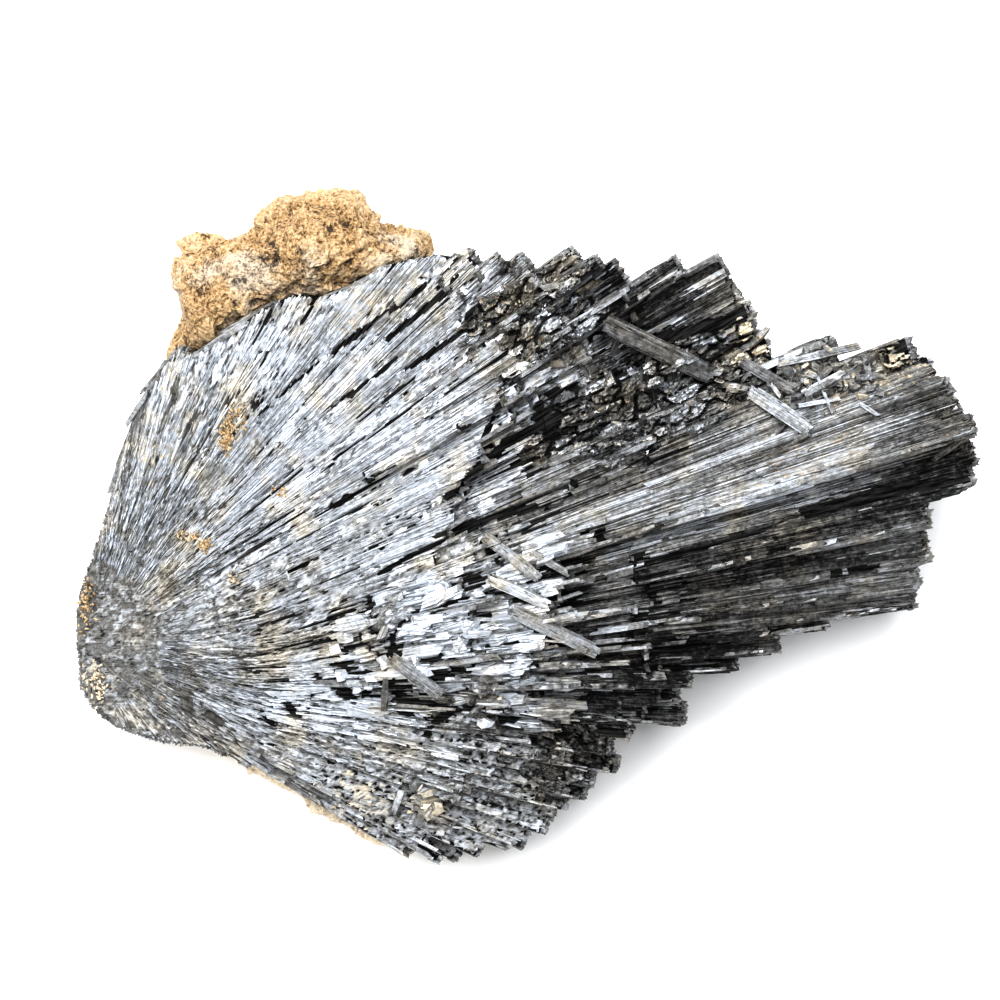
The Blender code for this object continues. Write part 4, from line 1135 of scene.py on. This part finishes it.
def studio_bowl():
    """Floor and wall in one: a profile turned about Z, flat, then a quarter circle, then upright."""
    bend = np.linspace(0.0, 0.5 * math.pi, 33)
    turn_radius = BOWL_RADIUS - BOWL_FLAT
    radius = np.concatenate([[0.5, BOWL_FLAT], BOWL_FLAT + turn_radius * np.sin(bend[1:]), [BOWL_RADIUS]])
    height = np.concatenate([[0.0, 0.0], turn_radius * (1.0 - np.cos(bend[1:])), [BOWL_HEIGHT]])
    around = np.linspace(0.0, 2.0 * math.pi, 96, endpoint=False)[:, None]
    points = columns(radius * np.cos(around), radius * np.sin(around), height + 0.0 * around)
    turns, rings = points.shape[:2]
    start = np.arange(turns)[:, None] * rings
    after = np.roll(start, -1, axis=0)
    ring = np.arange(rings - 1)[None]
    quads = columns(start + ring, start + ring + 1, after + ring + 1, after + ring).reshape(-1, 4)
    mesh = bpy.data.meshes.new("floor")
    mesh.from_pydata(points.reshape(-1, 3).tolist(), [], [*quads.tolist(), start[:, 0].tolist()])
    mesh.shade_smooth()
    mesh.materials.append(paper("floor_paper"))
    return mesh


def stage():
    """Pale floor that curves up all round, a large soft light from beyond the rock, weaker
    lights from the sides and the camera."""
    placed("floor", studio_bowl())
    for name, place, size, power, color in LIGHTS:
        lamp = bpy.data.lights.new(name, "AREA")
        lamp.shape = "RECTANGLE"
        lamp.size, lamp.size_y = size
        lamp.energy, lamp.color = power, color
        light = placed(name, lamp)
        light.location = place
        aim = Vector(AIM) - Vector(place)
        light.rotation_euler = aim.to_track_quat("-Z", "Y").to_euler()
    world = bpy.data.worlds.new("room")
    world.use_nodes = True
    room = world.node_tree.nodes["Background"].inputs
    room["Color"].default_value, room["Strength"].default_value = ROOM_COLOR, ROOM_STRENGTH
    scene = bpy.context.scene
    scene.world = world
    scene.view_settings.view_transform = "Standard"
    scene.view_settings.gamma = GAMMA
    lens = bpy.data.cameras.new("camera")
    lens.sensor_width = 36.0
    lens.lens = lens.sensor_width * (CAMERA_HEIGHT - FOCUS_HEIGHT) / (PIXEL * PICTURE)
    camera = placed("camera", lens)
    camera.location = (AXIS[0] * MM, AXIS[1] * MM, CAMERA_HEIGHT * MM)
    scene.camera = camera


rng = np.random.default_rng(SEED)
core_triangles = node_triangles("crystal_spray")
relief = Relief(core_triangles)
long_gaps = np.array(GAPS + BLOCK_GAPS)
all_gaps = np.concatenate([long_gaps, short_gaps(rng)])
laths = striated_metal("stibnite_laths", 0.62, 0.44, 0.64)
grains = striated_metal("stibnite_grains", 0.3, 0.6, 0.8)
for region_name, region in REGIONS.items():
    families = [
        surface_laths(region, family, relief, long_gaps if family == "bed" else all_gaps, rng)
        for family in ("bed", "slats", "fibres") if family in region
    ]
    lath_piece(f"{region_name}_laths", families, grains if "dull" in region else laths)
for wall_name, facings, density, widths, lengths in WALLS:
    lath_piece(wall_name, [wall_laths(core_triangles, relief, facings, density, widths, lengths, rng)], laths)
lath_piece("broken_ends", [broken_ends(core_triangles, relief, rng)], laths)
lath_piece("rubble", rubble(relief, rng), laths)
lath_piece("stray_laths", [stray_laths(relief, rng)], laths)
for number in range(1, 9):
    loose_lath(number, laths, rng)
for field in BLOCK_FIELDS:
    block_field(field, relief, grains if field[0] in DULL_FIELDS else laths)
for field in FAN_FIELDS:
    fan_field(field, all_gaps, relief, grains if field[0] in DULL_FIELDS else laths)
rock_finish = ochre_rock("ochre_rock")
crumbs(relief, rng, rock_finish)
grainy_rock(rock_finish)

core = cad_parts["crystal_spray"]
core.data.materials.clear()
core.data.materials.append(core_metal("core_metal"))
stage()
